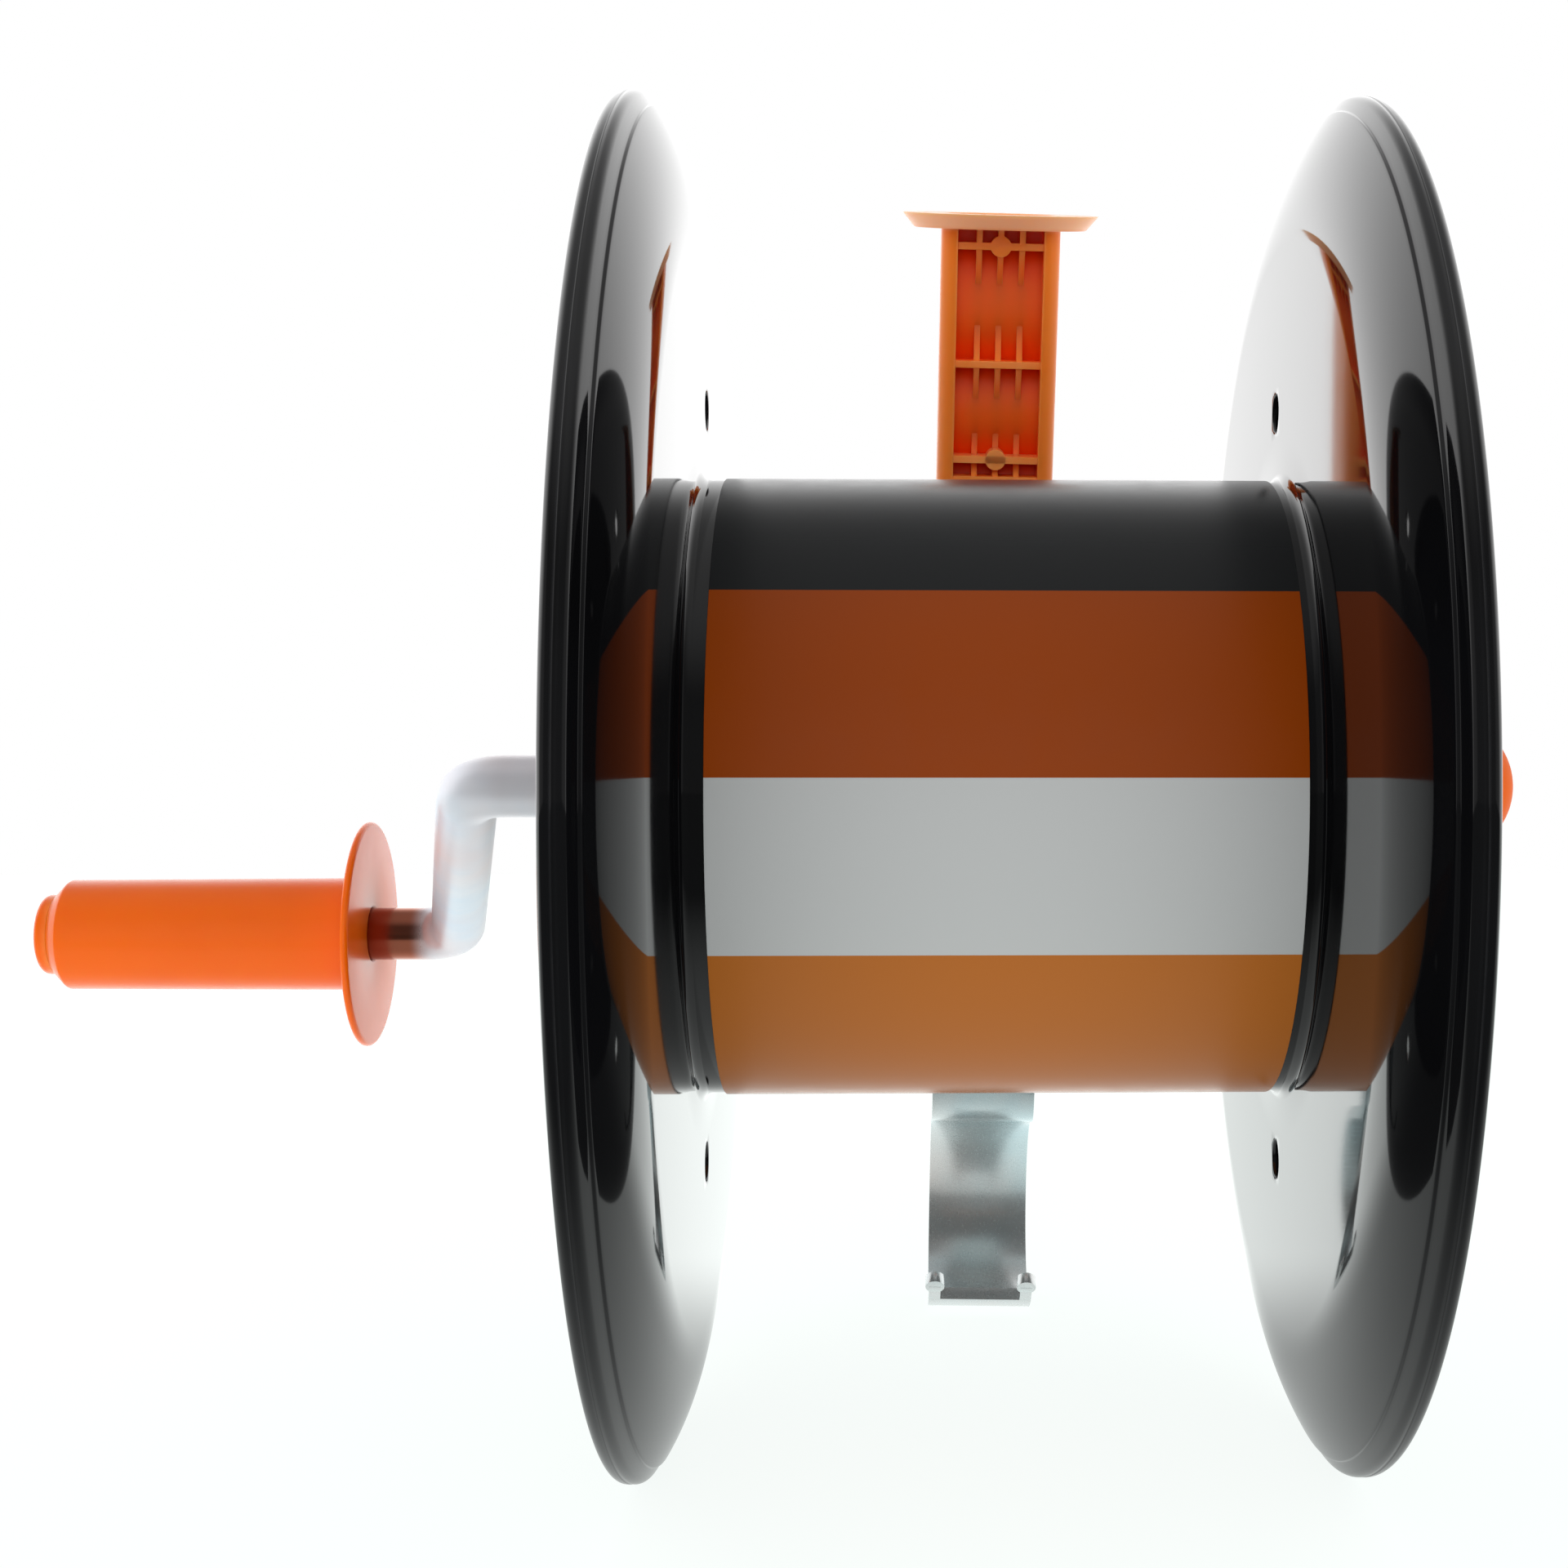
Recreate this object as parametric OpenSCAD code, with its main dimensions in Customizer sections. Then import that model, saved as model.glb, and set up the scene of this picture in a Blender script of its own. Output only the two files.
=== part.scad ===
// Hand-cranked electric fence reel: a moulded spool turned by a bent steel crank, carried in a
// flat-bar yoke with a moulded carry handle above and a hanging hook below.
// Millimetres, +Z up. The origin is on the axle, midway between the flanges.
// +X points to the capped end of the axle, -X to the crank, +Y to the yoke's crossbar.

/* [Spool] */
// Diameter over the flange rims
flange_d = 260; // [240:1:290]
// Clear width between the flanges at the drum
winding_w = 111; // [100:0.5:120]
// Diameter of the winding drum
drum_d = 118; // [108:1:128]
// Wall of the drum tube
drum_wall = 3; // [2:0.25:4]
// Radius of the drum's flared ends
drum_flare_r = 2; // [1:0.25:3]
// Thickness of the flange web
flange_t = 3; // [2:0.25:4]
// How far the flange leans outwards between drum and rim
flare_h = 6.5; // [4:0.5:10]
// Radial width of the flat ring on the flange beside the drum
flat_ring_w = 45; // [30:1:55]
// Thickness of the rim along the axle
rim_t = 6; // [4:0.5:8]
// Radial height of the rim bead
rim_h = 8; // [6:0.5:10]
// Rounding of the rim's edges
rim_edge_r = 2.4; // [1:0.2:2.8]
// Diameter of each wire anchor hole
anchor_d = 7.5; // [5:0.5:9]
// Distance from the drum's surface to the middle of an anchor hole
anchor_gap = 14; // [10:0.5:16]
// Diameter of the flange hub
hub_d = 40; // [36:1:44]
// Height of the ring that centres the drum on each flange
spigot_l = 1; // [0.5:0.25:3]
// Wall of the ring that centres the drum
spigot_t = 3; // [2:0.25:4]
// Number of stiffening ribs on the outside of each flange
rib_count = 12; // [8:1:16]
// Thickness of the stiffening ribs
rib_t = 2.2; // [1.5:0.1:3]
// How far the ribs stop short of the rim's outer plane
rib_drop = 2; // [1:0.25:3]

/* [Label band] */
// Bare drum between the flared crank end and the printed band
label_gap_left = 2.6; // [0.5:0.1:10]
// Bare drum between the flared ratchet end and the printed band
label_gap_right = 1.2; // [0.5:0.1:10]
// Thickness of the printed band
label_t = 0.3; // [0.2:0.05:0.5]

/* [Crank] */
// Diameter of the crank rod
rod_d = 12; // [10:0.5:14]
// Distance from the axle to the grip's axis
crank_throw = 95; // [80:1:110]
// Angle by which the crank arm leans outwards
crank_lean = 11.4; // [0:0.2:15]
// Inside radius of the rod's two bends
crank_inside_r = 3; // [2.5:0.25:8]
// Distance from the yoke to the corner of the first bend
crank_reach = 25.6; // [22:0.2:36]
// Distance from the second bend's corner to the grip
grip_standoff = 19.2; // [17:0.2:28]
// Angle of the crank arm below the horizontal when at rest
crank_rest = 21; // [0:1:45]
// Diameter of the pin that drives the spool
drive_pin_d = 4; // [3:0.25:5]
// Length of the pin that drives the spool
drive_pin_l = 32; // [26:1:38]

/* [Crank grip] */
// Length of the grip's body
grip_l = 70; // [60:1:85]
// Diameter of the grip's body beside its guard disc
grip_d = 25.8; // [24:0.2:30]
// Diameter of the grip's body at its free end
grip_end_d = 25; // [23:0.2:29]
// Diameter of the guard disc
guard_d = 51.6; // [44:0.2:60]
// Thickness of the guard disc
guard_t = 1.8; // [1.4:0.1:4]
// Length of the sloped shoulder at the grip's free end
shoulder_l = 3.2; // [1.5:0.1:4]
// Diameter of the plug that closes the grip
plug_d = 18.2; // [16:0.2:19]
// Length of the plug that shows
plug_l = 3; // [2.5:0.25:7]
// Depth of the plug's stem inside the grip
plug_stem_l = 3; // [2:0.25:5]

/* [Yoke] */
// Width of the yoke's flat bar
bar_w = 25; // [22:0.5:30]
// Thickness of the yoke's flat bar
bar_t = 4; // [3:0.25:5]
// Gap between a flange rim and the yoke arm
arm_gap = 4; // [3:0.25:8]
// Gap between the flange rims and the crossbar
crossbar_gap = 12; // [8:0.5:30]
// Inside bend radius of the yoke's corners
yoke_bend_r = 8; // [5:0.5:12]
// Diameter of the nylon bush where it sits in the arm
bush_d = 16; // [15:0.25:18]
// Diameter of the bush's flange
bush_flange_d = 22; // [20:0.5:24]
// Thickness of the bush's flange
bush_flange_t = 1.5; // [1:0.25:2]
// How far the bush stands out of the arm
bush_lip = 1.5; // [1:0.25:2.5]

/* [Handle strip and hook] */
// Width of the handle strip
strip_w = 25; // [22:0.5:28]
// Thickness of the handle strip
strip_t = 3; // [2:0.25:4]
// Distance of the strip from the middle of the crossbar, towards the capped end
strip_shift = 3.2; // [0:0.2:8]
// Angle by which the strip leans towards the capped end
strip_tilt = 1.1; // [0:0.1:2]
// Inside radius of the hanging hook
hook_r = 21.5; // [18:0.5:24]
// How far the hook's middle lies in front of the strip's flat
hook_set = 18; // [12:0.5:20]
// Angle that the hook wraps around, up to the floor of the notch in its lip
hook_wrap = 213; // [195:1:216]
// Bend radius of the neck above the hook, at the middle line
neck_r = 8; // [6:0.5:10]
// Length of straight strip between the neck and the hook
neck_l = 2; // [1:0.25:4]
// Bend radius of the long bends beside the flat, at the middle line
sway_r = 20; // [14:1:26]
// Length of flat strip beyond each edge of the crossbar
seat_margin = 4.5; // [3:0.25:6]
// Diameter of the round ears at the corners of the hook's lip
ear_d = 4.6; // [3:0.2:6]
// Angle that the ears add to the hook
ear_wrap = 14; // [8:1:18]
// How far the ears stand out past the strip's edges
ear_flare = 0.9; // [0:0.1:1.5]
// Width of the tang inside the carry handle
tang_w = 20; // [16:0.5:22]

/* [Carry handle] */
// Angle by which the carry handle leans over the spool
handle_lean = 14.5; // [8:0.5:20]
// Width of the carry handle
handle_w = 28.8; // [28:0.2:34]
// Depth of the carry handle from front to back
handle_depth = 24; // [22:0.5:28]
// Length of the carry handle below its top disc
handle_l = 92.5; // [80:0.5:110]
// Distance from the crossbar to the foot of the carry handle
handle_rise = 26; // [20:0.5:34]
// Rounding of the carry handle's long edges
handle_edge_r = 4; // [2:0.25:5]
// Thickness of the carry handle's side walls
handle_wall = 4; // [3:0.25:4.5]
// Diameter of the top disc
disc_d = 48; // [44:0.5:56]
// Thickness of the top disc
disc_t = 3.5; // [3:0.25:5]
// How much smaller the top disc's underside is in radius
disc_bevel = 3; // [1:0.25:4]
// Diameter of the shallow dish in the top disc
dish_d = 27; // [24:0.5:32]
// Depth of the shallow dish in the top disc
dish_h = 1; // [0.5:0.25:1.5]
// Thickness of the moulded core between the pockets
core_t = 8; // [6:0.25:10]
// Thickness of the upright ribs in the pockets
fin_t = 1.4; // [1:0.1:1.8]
// Number of upright ribs in each pocket
fin_count = 3; // [2:1:4]
// Thickness of the cross ribs in the pockets
bridge_t = 1.7; // [1.2:0.1:2.4]
// Number of bays between the cross ribs
bay_count = 3; // [2:1:4]
// Height of the short bays at the top and foot of the pockets
short_bay = 4; // [3:0.25:6]
// How far the ribs stop short of the pocket's mouth
rib_setback = 1; // [0.5:0.1:2]
// How deep the upright ribs are scooped between the cross ribs
scoop_h = 5; // [3:0.25:6]
// Diameter of the ejector bosses where the ribs cross
boss_d = 5; // [4:0.25:6]

/* [Ratchet and pawl] */
// Number of ratchet teeth
tooth_count = 24; // [12:12:36]
// Radius at the root of the ratchet teeth
tooth_root_r = 35; // [34:0.5:38]
// Height of the ratchet teeth
tooth_h = 5; // [4:0.25:6]
// Thickness of the ratchet ring
ratchet_t = 6; // [4:0.25:7]
// Height of the pads under the ratchet ring and the nuts
pad_h = 2.5; // [2:0.25:4]
// Angle from the released to the engaged pawl
pawl_travel = 12; // [11:0.5:14]
// Radius of the pawl's pivot boss
pawl_boss_r = 9; // [8:0.25:10]
// Room between the pawl's boss and the flange's rib ring
boss_room = 6; // [4:0.5:8]
// Diameter of the pawl's pivot
pivot_d = 8; // [6:0.25:9]
// How far the heads of the pivot stand out past it
pivot_head_rim = 2.4; // [2:0.1:3]
// Height of the heads of the pivot
pivot_head_h = 2.4; // [2:0.1:3]
// How far the thumb tab stands out of the yoke arm
tab_reach = 12; // [8:0.5:16]
// Thickness of the thumb tab
tab_t = 4; // [3:0.25:5]
// Width of the thumb tab
tab_w = 10; // [8:0.5:12]
// Gap between the thumb tab and the lower edge of the yoke arm
tab_room = 5; // [4:0.5:8]

/* [Fasteners and cap] */
// Diameter of the tie bolts
bolt_d = 6; // [5:0.25:7]
// Radius of the circle that the tie bolts stand on
bolt_circle_r = 28; // [26.5:0.25:29]
// Number of tie bolts
bolt_count = 4; // [3:1:6]
// Width across the flats of the bolt heads and nuts
hex_af = 9; // [8:0.25:10]
// Height of a bolt head or nut
hex_h = 4; // [3:0.25:5]
// Diameter of the rivets in the crossbar
rivet_d = 6; // [5:0.25:7]
// Distance between the two rivets
rivet_pitch = 14; // [13:0.5:15]
// Diameter of a rivet head
rivet_head_d = 11; // [9:0.25:12]
// Height of a rivet head
rivet_head_h = 2.5; // [1.5:0.25:3]
// Outside diameter of the axle washer
washer_d = 24; // [20:0.5:26]
// Thickness of the washers
washer_t = 1.5; // [1:0.1:2]
// Outside diameter of the push-on retainers
retainer_d = 16.4; // [15.5:0.1:17]
// Thickness of the push-on retainers
retainer_t = 1.2; // [0.8:0.1:1.6]
// Diameter of the axle cap
cap_d = 28; // [26:0.5:32]
// Length of the axle cap below its dome
cap_skirt = 7; // [5:0.5:9]
// Length of axle inside the cap
cap_grip_l = 12; // [8:0.5:16]

/* [Hidden] */
$fn = 96;
// Radial clearance of a running fit
run_clear = 0.06;
// Radial clearance of a fixed fit
fix_clear = 0.05;
// Gap between pieces that move past each other
free_gap = 0.4;
// Radial clearance of a bolt in its hole
bolt_clear = 0.2;
// Overlap that joins two shapes of one piece
lap = 0.5;
// How far a straight run enters the bend beside it
seam = 0.2;
// Angle by which an ear of the lip enters the hook's bend
ear_lap = 3;
// How much thinner the round end of an ear is than the strip, on each side
ear_inset = 0.06;
// How much slimmer a straight strip is than a bend, on each side
hair = 0.01;
// How far the rod swells in its bends
swell = 0.1;
// Gap between the bolt heads and the yoke arm
head_gap = 1;
// How far the hook's bottom stays above the lowest point of the rims
hook_lift = 0.5;
// Wall at the mouth of the grip's counterbore
mouth_wall = 0.6;
// Rounding of the plug's outer edge
plug_edge_r = 1.6;
// Clearance between the pawl's nose and a tooth gap
nose_clear = 0.8;
// Height of the pawl's nose above the tooth tips
nose_h = 4;
// How far the pawl's underside clears the next tooth tip
arch_clear = 2;
// Angle from the next tooth's face to the arch in the pawl's underside
arch_lag = 1;
// How much narrower the pawl's arm is than its boss, on the outer and on the inner side
arm_inset = [1, 3];

flange_r = flange_d / 2;
drum_r = drum_d / 2;
hub_r = hub_d / 2;
rod_r = rod_d / 2;
web_in = winding_w / 2;
web_out = web_in + flange_t;
rim_in = web_in + flare_h;
rim_out = rim_in + rim_t;
flat_r = drum_r + flat_ring_w;
rim_join_r = flange_r - rim_edge_r;
// Radius of the arc that carries the web from the flat ring to the rim
flare_r = (pow(rim_join_r - flat_r, 2) + flare_h * flare_h) / (2 * flare_h);
anchor_r = drum_r + anchor_gap;
rib_ring_r = anchor_r + anchor_d / 2 + rib_t;
rib_top = rim_out - rib_drop;
spigot_r = drum_r - drum_wall - fix_clear;
label_left = drum_flare_r + label_gap_left - web_in;
label_w = web_in - drum_flare_r - label_gap_right - label_left;

// Stack of pieces along the axle, counted outwards from the flange web
pad_out = web_out + pad_h;
ratchet_out = pad_out + ratchet_t;
heads_out = ratchet_out + hex_h;
arm_in = max(rim_out + arm_gap, heads_out + head_gap);
arm_out = arm_in + bar_t;
bush_in = arm_in - bush_flange_t;
bush_out = arm_out + bush_lip;
hub_end = bush_in - free_gap;
washer_x = bush_out + free_gap;
retainer_x = washer_x + washer_t;
cap_x = retainer_x + retainer_t + free_gap;
cap_tip = cap_x + cap_skirt + cap_d / 2;
axle_end = cap_x + cap_grip_l;

// Crank: the corners are where the rod's middle lines meet
corner_1_x = arm_out + crank_reach;
corner_2_x = corner_1_x + crank_throw * tan(crank_lean);
crank_turn = 90 - crank_lean;
crank_bend_r = rod_r + crank_inside_r;
bend_cut = crank_bend_r * tan(crank_turn / 2);
arm_l = crank_throw / cos(crank_lean) - 2 * bend_cut;
grip_x = corner_2_x + grip_standoff;
grip_end = grip_x + guard_t + grip_l;
pin_in_hub = hub_end - drive_pin_d;
counterbore_r = retainer_d / 2 + free_gap;
spindle_end = grip_end - plug_stem_l - free_gap;
spindle_retainer_x = spindle_end - 2 * retainer_t;
counterbore_x = spindle_retainer_x - free_gap;

// Yoke and handle strip, in the plane through the middle of the spool
crossbar_y = flange_r + crossbar_gap;
plate_y = crossbar_y + bar_t + strip_t / 2;
seat_h = bar_w / 2 + seat_margin;
hook_mid_r = hook_r + strip_t / 2;
hook_y = plate_y - hook_set;
hook_z = hook_r + strip_t + hook_lift - flange_r;
// The straight run between the two bends under the flat touches both bend circles
sway_to_neck = [hook_y - neck_l - plate_y + sway_r, hook_z + hook_mid_r + neck_r + seat_h];
run_l = sqrt(pow(norm(sway_to_neck), 2) - pow(sway_r + neck_r, 2));
run_heading = atan2(sway_to_neck.y, sway_to_neck.x) - asin((sway_r + neck_r) / norm(sway_to_neck));
sway_turn = -90 - run_heading;
tang_l = handle_rise + handle_l + disc_t - dish_h;

// Carry handle pockets, measured along the handle from its foot
pocket_w = handle_w - 2 * handle_wall;
pocket_h = (handle_depth - core_t) / 2;
bay_l = (handle_l - 2 * short_bay) / bay_count;
scoop_r = (pow(bay_l / 2, 2) + scoop_h * scoop_h) / (2 * scoop_h);

// Pawl: its arm meets the teeth square to the ratchet's radius
tooth_tip_r = tooth_root_r + tooth_h;
tooth_pitch = 360 / tooth_count;
pawl_y = rib_ring_r - rib_t / 2 - pawl_boss_r - boss_room;
nose_r = tooth_root_r + tooth_h / 2;
nose_angle = acos(nose_r / pawl_y);
tooth_face = nose_angle + atan(nose_clear / nose_r);
pivot_head_r = pivot_d / 2 + pivot_head_rim;
tab_drop = bar_w / 2 + tab_room;
tab_y = pawl_y - pawl_boss_r + arm_inset.y;

black = "#1b1c1e";
orange = "#ee6a1c";
zinc = "#b4bac0";
nylon = "#e6e3da";
band = "#d8641c";

// Point at a radius and an angle
function polar(r, a) = [r * cos(a), r * sin(a)];

// Lays a shape that stands along Z on the axle, pointing to +X
module on_axle(x = 0) {
    translate([x, 0, 0])
        rotate([0, 90, 0])
            children();
}

// Lays a flat outline drawn in Y and Z on the plane at x, and gives it a thickness towards +X
module across(x, t) {
    translate([x, 0, 0])
        rotate([90, 0, 90])
            linear_extrude(t)
                children();
}

// Ring with a square section, round the axle
module ring_x(x, t, r_out, r_in) {
    on_axle(x)
        difference() {
            cylinder(r = r_out, h = t);
            translate([0, 0, -lap])
                cylinder(r = r_in, h = t + 2 * lap);
        }
}

// Flat rectangle with rounded corners, from its lowest corner
module soft_rect(size, r) {
    translate([r, 0])
        square([size.x - 2 * r, size.y]);
    translate([0, r])
        square([size.x, size.y - 2 * r]);
    for (x = [r, size.x - r], y = [r, size.y - r])
        translate([x, y])
            circle(r = r);
}

// Part of a flat ring, from the X axis through an angle
module ring_sector(r_in, r_out, angle) {
    steps = 5;
    intersection() {
        difference() {
            circle(r = r_out);
            circle(r = r_in);
        }
        polygon([[0, 0], for (k = [0:steps]) polar(2 * r_out, angle * k / steps)]);
    }
}

// Side view of a bent strip that starts along +X. A step is [length], or [radius, angle] for a bend.
// A straight is a hair slimmer than the bends and runs a little way into them
module strip_run(steps, t, joined = false) {
    if (len(steps) > 0) {
        step = steps[0];
        rest = [for (i = [1:1:len(steps) - 1]) steps[i]];
        if (len(step) == 1) {
            tail = joined ? seam : 0;
            head = len(rest) > 0 ? seam : 0;
            translate([-tail, hair - t / 2])
                square([step[0] + tail + head, t - 2 * hair]);
            translate([step[0], 0])
                strip_run(rest, t, true);
        } else {
            side = sign(step[1]);
            translate([0, side * step[0]]) {
                rotate(-90 * side)
                    ring_sector(step[0] - t / 2, step[0] + t / 2, step[1]);
                rotate(step[1])
                    translate([0, -side * step[0]])
                        strip_run(rest, t, true);
            }
        }
    }
}

// Round rod that starts along +X and bends in the XY plane, with steps as for a strip.
// It swells a little in its bends
module rod_run(steps, d, joined = false) {
    if (len(steps) > 0) {
        step = steps[0];
        rest = [for (i = [1:1:len(steps) - 1]) steps[i]];
        if (len(step) == 1) {
            tail = joined ? seam : 0;
            head = len(rest) > 0 ? seam : 0;
            translate([-tail, 0, 0])
                rotate([0, 90, 0])
                    cylinder(d = d, h = step[0] + tail + head);
            translate([step[0], 0, 0])
                rod_run(rest, d, true);
        } else {
            side = sign(step[1]);
            translate([0, side * step[0], 0]) {
                rotate([0, 0, -90 * side])
                    rotate_extrude(angle = step[1])
                        translate([step[0], 0])
                            circle(d = d + 2 * swell);
                rotate([0, 0, step[1]])
                    translate([0, -side * step[0], 0])
                        rod_run(rest, d, true);
            }
        }
    }
}

// Section of a flange: radius to the right, distance from the spool's middle upwards
module flange_section() {
    bore_r = rod_r + fix_clear;
    translate([bore_r, web_in])
        square([flat_r - bore_r, flange_t]);
    intersection() {
        translate([flat_r, web_in + flare_r])
            difference() {
                circle(r = flare_r, $fn = 720);
                circle(r = flare_r - flange_t, $fn = 720);
            }
        translate([flat_r, web_in - lap])
            square([rim_join_r - flat_r, flare_h + flange_t + lap]);
    }
    translate([flange_r - rim_h, rim_in])
        soft_rect([rim_h, rim_t], rim_edge_r);
    translate([bore_r, web_in - spigot_l])
        square([hub_r - bore_r, hub_end - web_in + spigot_l]);
    translate([spigot_r - spigot_t, web_in - spigot_l])
        square([spigot_t, spigot_l + lap]);
    translate([rib_ring_r - rib_t / 2, web_out - lap])
        square([rib_t, rib_top - web_out + lap]);
    translate([hub_r - lap, web_out - lap])
        square([bolt_circle_r + bolt_d - hub_r, pad_h + lap]);
}

// Stiffening rib between the rib ring and the rim, with its lower edge inside the web
module flange_rib() {
    rib_end_r = flange_r - rim_h + lap;
    rise = flare_r - sqrt(flare_r * flare_r - pow(rib_end_r - flat_r, 2));
    translate([0, rib_t / 2, 0])
        rotate([90, 0, 0])
            linear_extrude(rib_t)
                polygon([
                    [rib_ring_r, web_in + lap],
                    [max(rib_ring_r, flat_r), web_in + lap],
                    [rib_end_r, web_in + rise + lap],
                    [rib_end_r, rib_top],
                    [rib_ring_r, rib_top],
                ]);
}

// Flange for the +X end, with its web, rim, hub, ribs, bolt holes and wire anchor holes
module flange() {
    on_axle()
        difference() {
            union() {
                rotate_extrude()
                    flange_section();
                for (i = [0:rib_count - 1])
                    rotate(360 * (i + 0.5) / rib_count)
                        flange_rib();
            }
            for (i = [0:bolt_count - 1])
                rotate(360 * (i + 0.5) / bolt_count)
                    translate([bolt_circle_r, 0, web_in - lap])
                        cylinder(d = bolt_d + 2 * bolt_clear, h = flange_t + pad_h + 2 * lap);
            for (a = [0, 180])
                rotate(a)
                    translate([anchor_r, 0, web_in - lap])
                        cylinder(d = anchor_d, h = 2 * flange_t);
        }
}

module right_flange() {
    color(black)
        flange();
}

// The crank-side flange has a slot across its hub for the drive pin
module left_flange() {
    slot_w = drive_pin_d + 2 * fix_clear;
    slot_h = hub_end - pin_in_hub + drive_pin_d / 2;
    color(black)
        difference() {
            mirror([1, 0, 0])
                flange();
            rotate([-crank_rest, 0, 0])
                translate([-hub_end - lap, -hub_r - lap, -slot_w / 2])
                    cube([slot_h + lap, 2 * (hub_r + lap), slot_w]);
        }
}

module drum() {
    color(black)
        on_axle()
            rotate_extrude()
                difference() {
                    union() {
                        translate([drum_r - drum_wall, -web_in])
                            square([drum_wall, winding_w]);
                        for (side = [-1, 1])
                            translate([drum_r - lap, side > 0 ? web_in - drum_flare_r : -web_in])
                                square([drum_flare_r + lap, drum_flare_r]);
                    }
                    for (side = [-1, 1])
                        translate([drum_r + drum_flare_r, side * (web_in - drum_flare_r)])
                            circle(r = drum_flare_r);
                }
}

module label_band() {
    color(band)
        ring_x(label_left, label_w, drum_r + fix_clear + label_t, drum_r + fix_clear);
}

// One copy of the children on each tie bolt's axis
module each_bolt() {
    for (i = [0:bolt_count - 1])
        rotate([360 * (i + 0.5) / bolt_count, 0, 0])
            translate([0, 0, bolt_circle_r])
                children();
}

module tie_bolts() {
    color(zinc)
        each_bolt() {
            on_axle(-pad_out - hex_h - lap)
                cylinder(d = bolt_d, h = pad_out + hex_h + lap + ratchet_out + lap);
            on_axle(ratchet_out)
                cylinder(d = hex_af / cos(30), h = hex_h, $fn = 6);
        }
}

module tie_nuts() {
    color(zinc)
        each_bolt()
            on_axle(-pad_out - hex_h)
                difference() {
                    cylinder(d = hex_af / cos(30), h = hex_h, $fn = 6);
                    translate([0, 0, -lap])
                        cylinder(d = bolt_d + 2 * fix_clear, h = hex_h + 2 * lap);
                }
}

// Saw-toothed ring on the cap-side hub: each tooth has one radial face
module ratchet_ring() {
    color(zinc)
        difference() {
            across(pad_out, ratchet_t)
                polygon([
                    for (i = [0:tooth_count - 1])
                        each [
                            polar(tooth_root_r, tooth_face + i * tooth_pitch),
                            polar(tooth_tip_r, tooth_face + i * tooth_pitch),
                        ]
                ]);
            on_axle(pad_out - lap)
                cylinder(r = hub_r + fix_clear, h = ratchet_t + 2 * lap);
            each_bolt()
                on_axle(pad_out - lap)
                    cylinder(d = bolt_d + 2 * bolt_clear, h = ratchet_t + 2 * lap);
        }
}

// Bent rod: axle, crank arm and grip spindle in one piece, with a cross hole for the drive pin
module crank_axle() {
    color(zinc)
        rotate([-crank_rest, 0, 0])
            difference() {
                translate([axle_end, 0, 0])
                    rotate([0, 0, 180])
                        rod_run([
                            [axle_end + corner_1_x - bend_cut],
                            [crank_bend_r, -crank_turn],
                            [arm_l],
                            [crank_bend_r, crank_turn],
                            [spindle_end - corner_2_x - bend_cut],
                        ], rod_d);
                translate([-pin_in_hub, 0, 0])
                    rotate([90, 0, 0])
                        cylinder(d = drive_pin_d + 2 * fix_clear, h = 2 * rod_d, center = true);
            }
}

module drive_pin() {
    color(zinc)
        rotate([-crank_rest, 0, 0])
            translate([-pin_in_hub, 0, 0])
                rotate([90, 0, 0])
                    cylinder(d = drive_pin_d, h = drive_pin_l, center = true);
}

module axle_washer() {
    color(zinc)
        ring_x(washer_x, washer_t, washer_d / 2, rod_r + fix_clear);
}

// Push-on retainer: a toothless ring that grips the end of a rod
module retainer(x) {
    ring_x(x, retainer_t, retainer_d / 2, rod_r + fix_clear);
}

module axle_retainer() {
    color(zinc)
        retainer(retainer_x);
}

module axle_cap() {
    color(orange)
        on_axle(cap_x)
            difference() {
                rotate_extrude()
                    intersection() {
                        union() {
                            square([cap_d / 2, cap_skirt]);
                            translate([0, cap_skirt])
                                circle(d = cap_d);
                        }
                        square([cap_d / 2, cap_skirt + cap_d / 2]);
                    }
                translate([0, 0, -lap])
                    cylinder(r = rod_r + fix_clear, h = cap_grip_l + free_gap + lap);
            }
}

// Puts a shape made round the axle on the grip's axis
module on_spindle() {
    rotate([-crank_rest, 0, 0])
        translate([0, crank_throw, 0])
            children();
}

module grip_retainer() {
    color(zinc)
        on_spindle()
            retainer(-spindle_retainer_x - retainer_t);
}

// Turned outline of the grip: radius to the right, length from the guard disc upwards
module grip_section() {
    body_end = guard_t + grip_l - shoulder_l;
    edge_r = guard_t / 2;
    difference() {
        union() {
            square([guard_d / 2 - edge_r, guard_t]);
            translate([guard_d / 2 - edge_r, edge_r])
                circle(r = edge_r);
            polygon([
                [0, guard_t - lap],
                [grip_d / 2, guard_t - lap],
                [grip_end_d / 2, body_end],
                [counterbore_r + mouth_wall, guard_t + grip_l],
                [0, guard_t + grip_l],
            ]);
        }
        translate([0, -lap])
            square([rod_r + run_clear, grip_l + 2 * guard_t]);
        translate([0, counterbore_x - grip_x])
            square([counterbore_r, grip_l]);
    }
}

module crank_grip() {
    color(orange)
        on_spindle()
            translate([-grip_x, 0, 0])
                rotate([0, -90, 0])
                    rotate_extrude()
                        grip_section();
}

// Plug that closes the grip's free end and hides the retainer
module grip_plug() {
    stem_r = counterbore_r - fix_clear;
    color(orange)
        on_spindle()
            translate([-grip_end, 0, 0])
                rotate([0, -90, 0])
                    rotate_extrude() {
                        translate([0, -plug_stem_l])
                            square([stem_r, plug_stem_l + lap]);
                        intersection() {
                            translate([-plug_d / 2, -plug_l])
                                soft_rect([plug_d, 2 * plug_l], plug_edge_r);
                            square([plug_d / 2, plug_l]);
                        }
                    }
}

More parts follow.
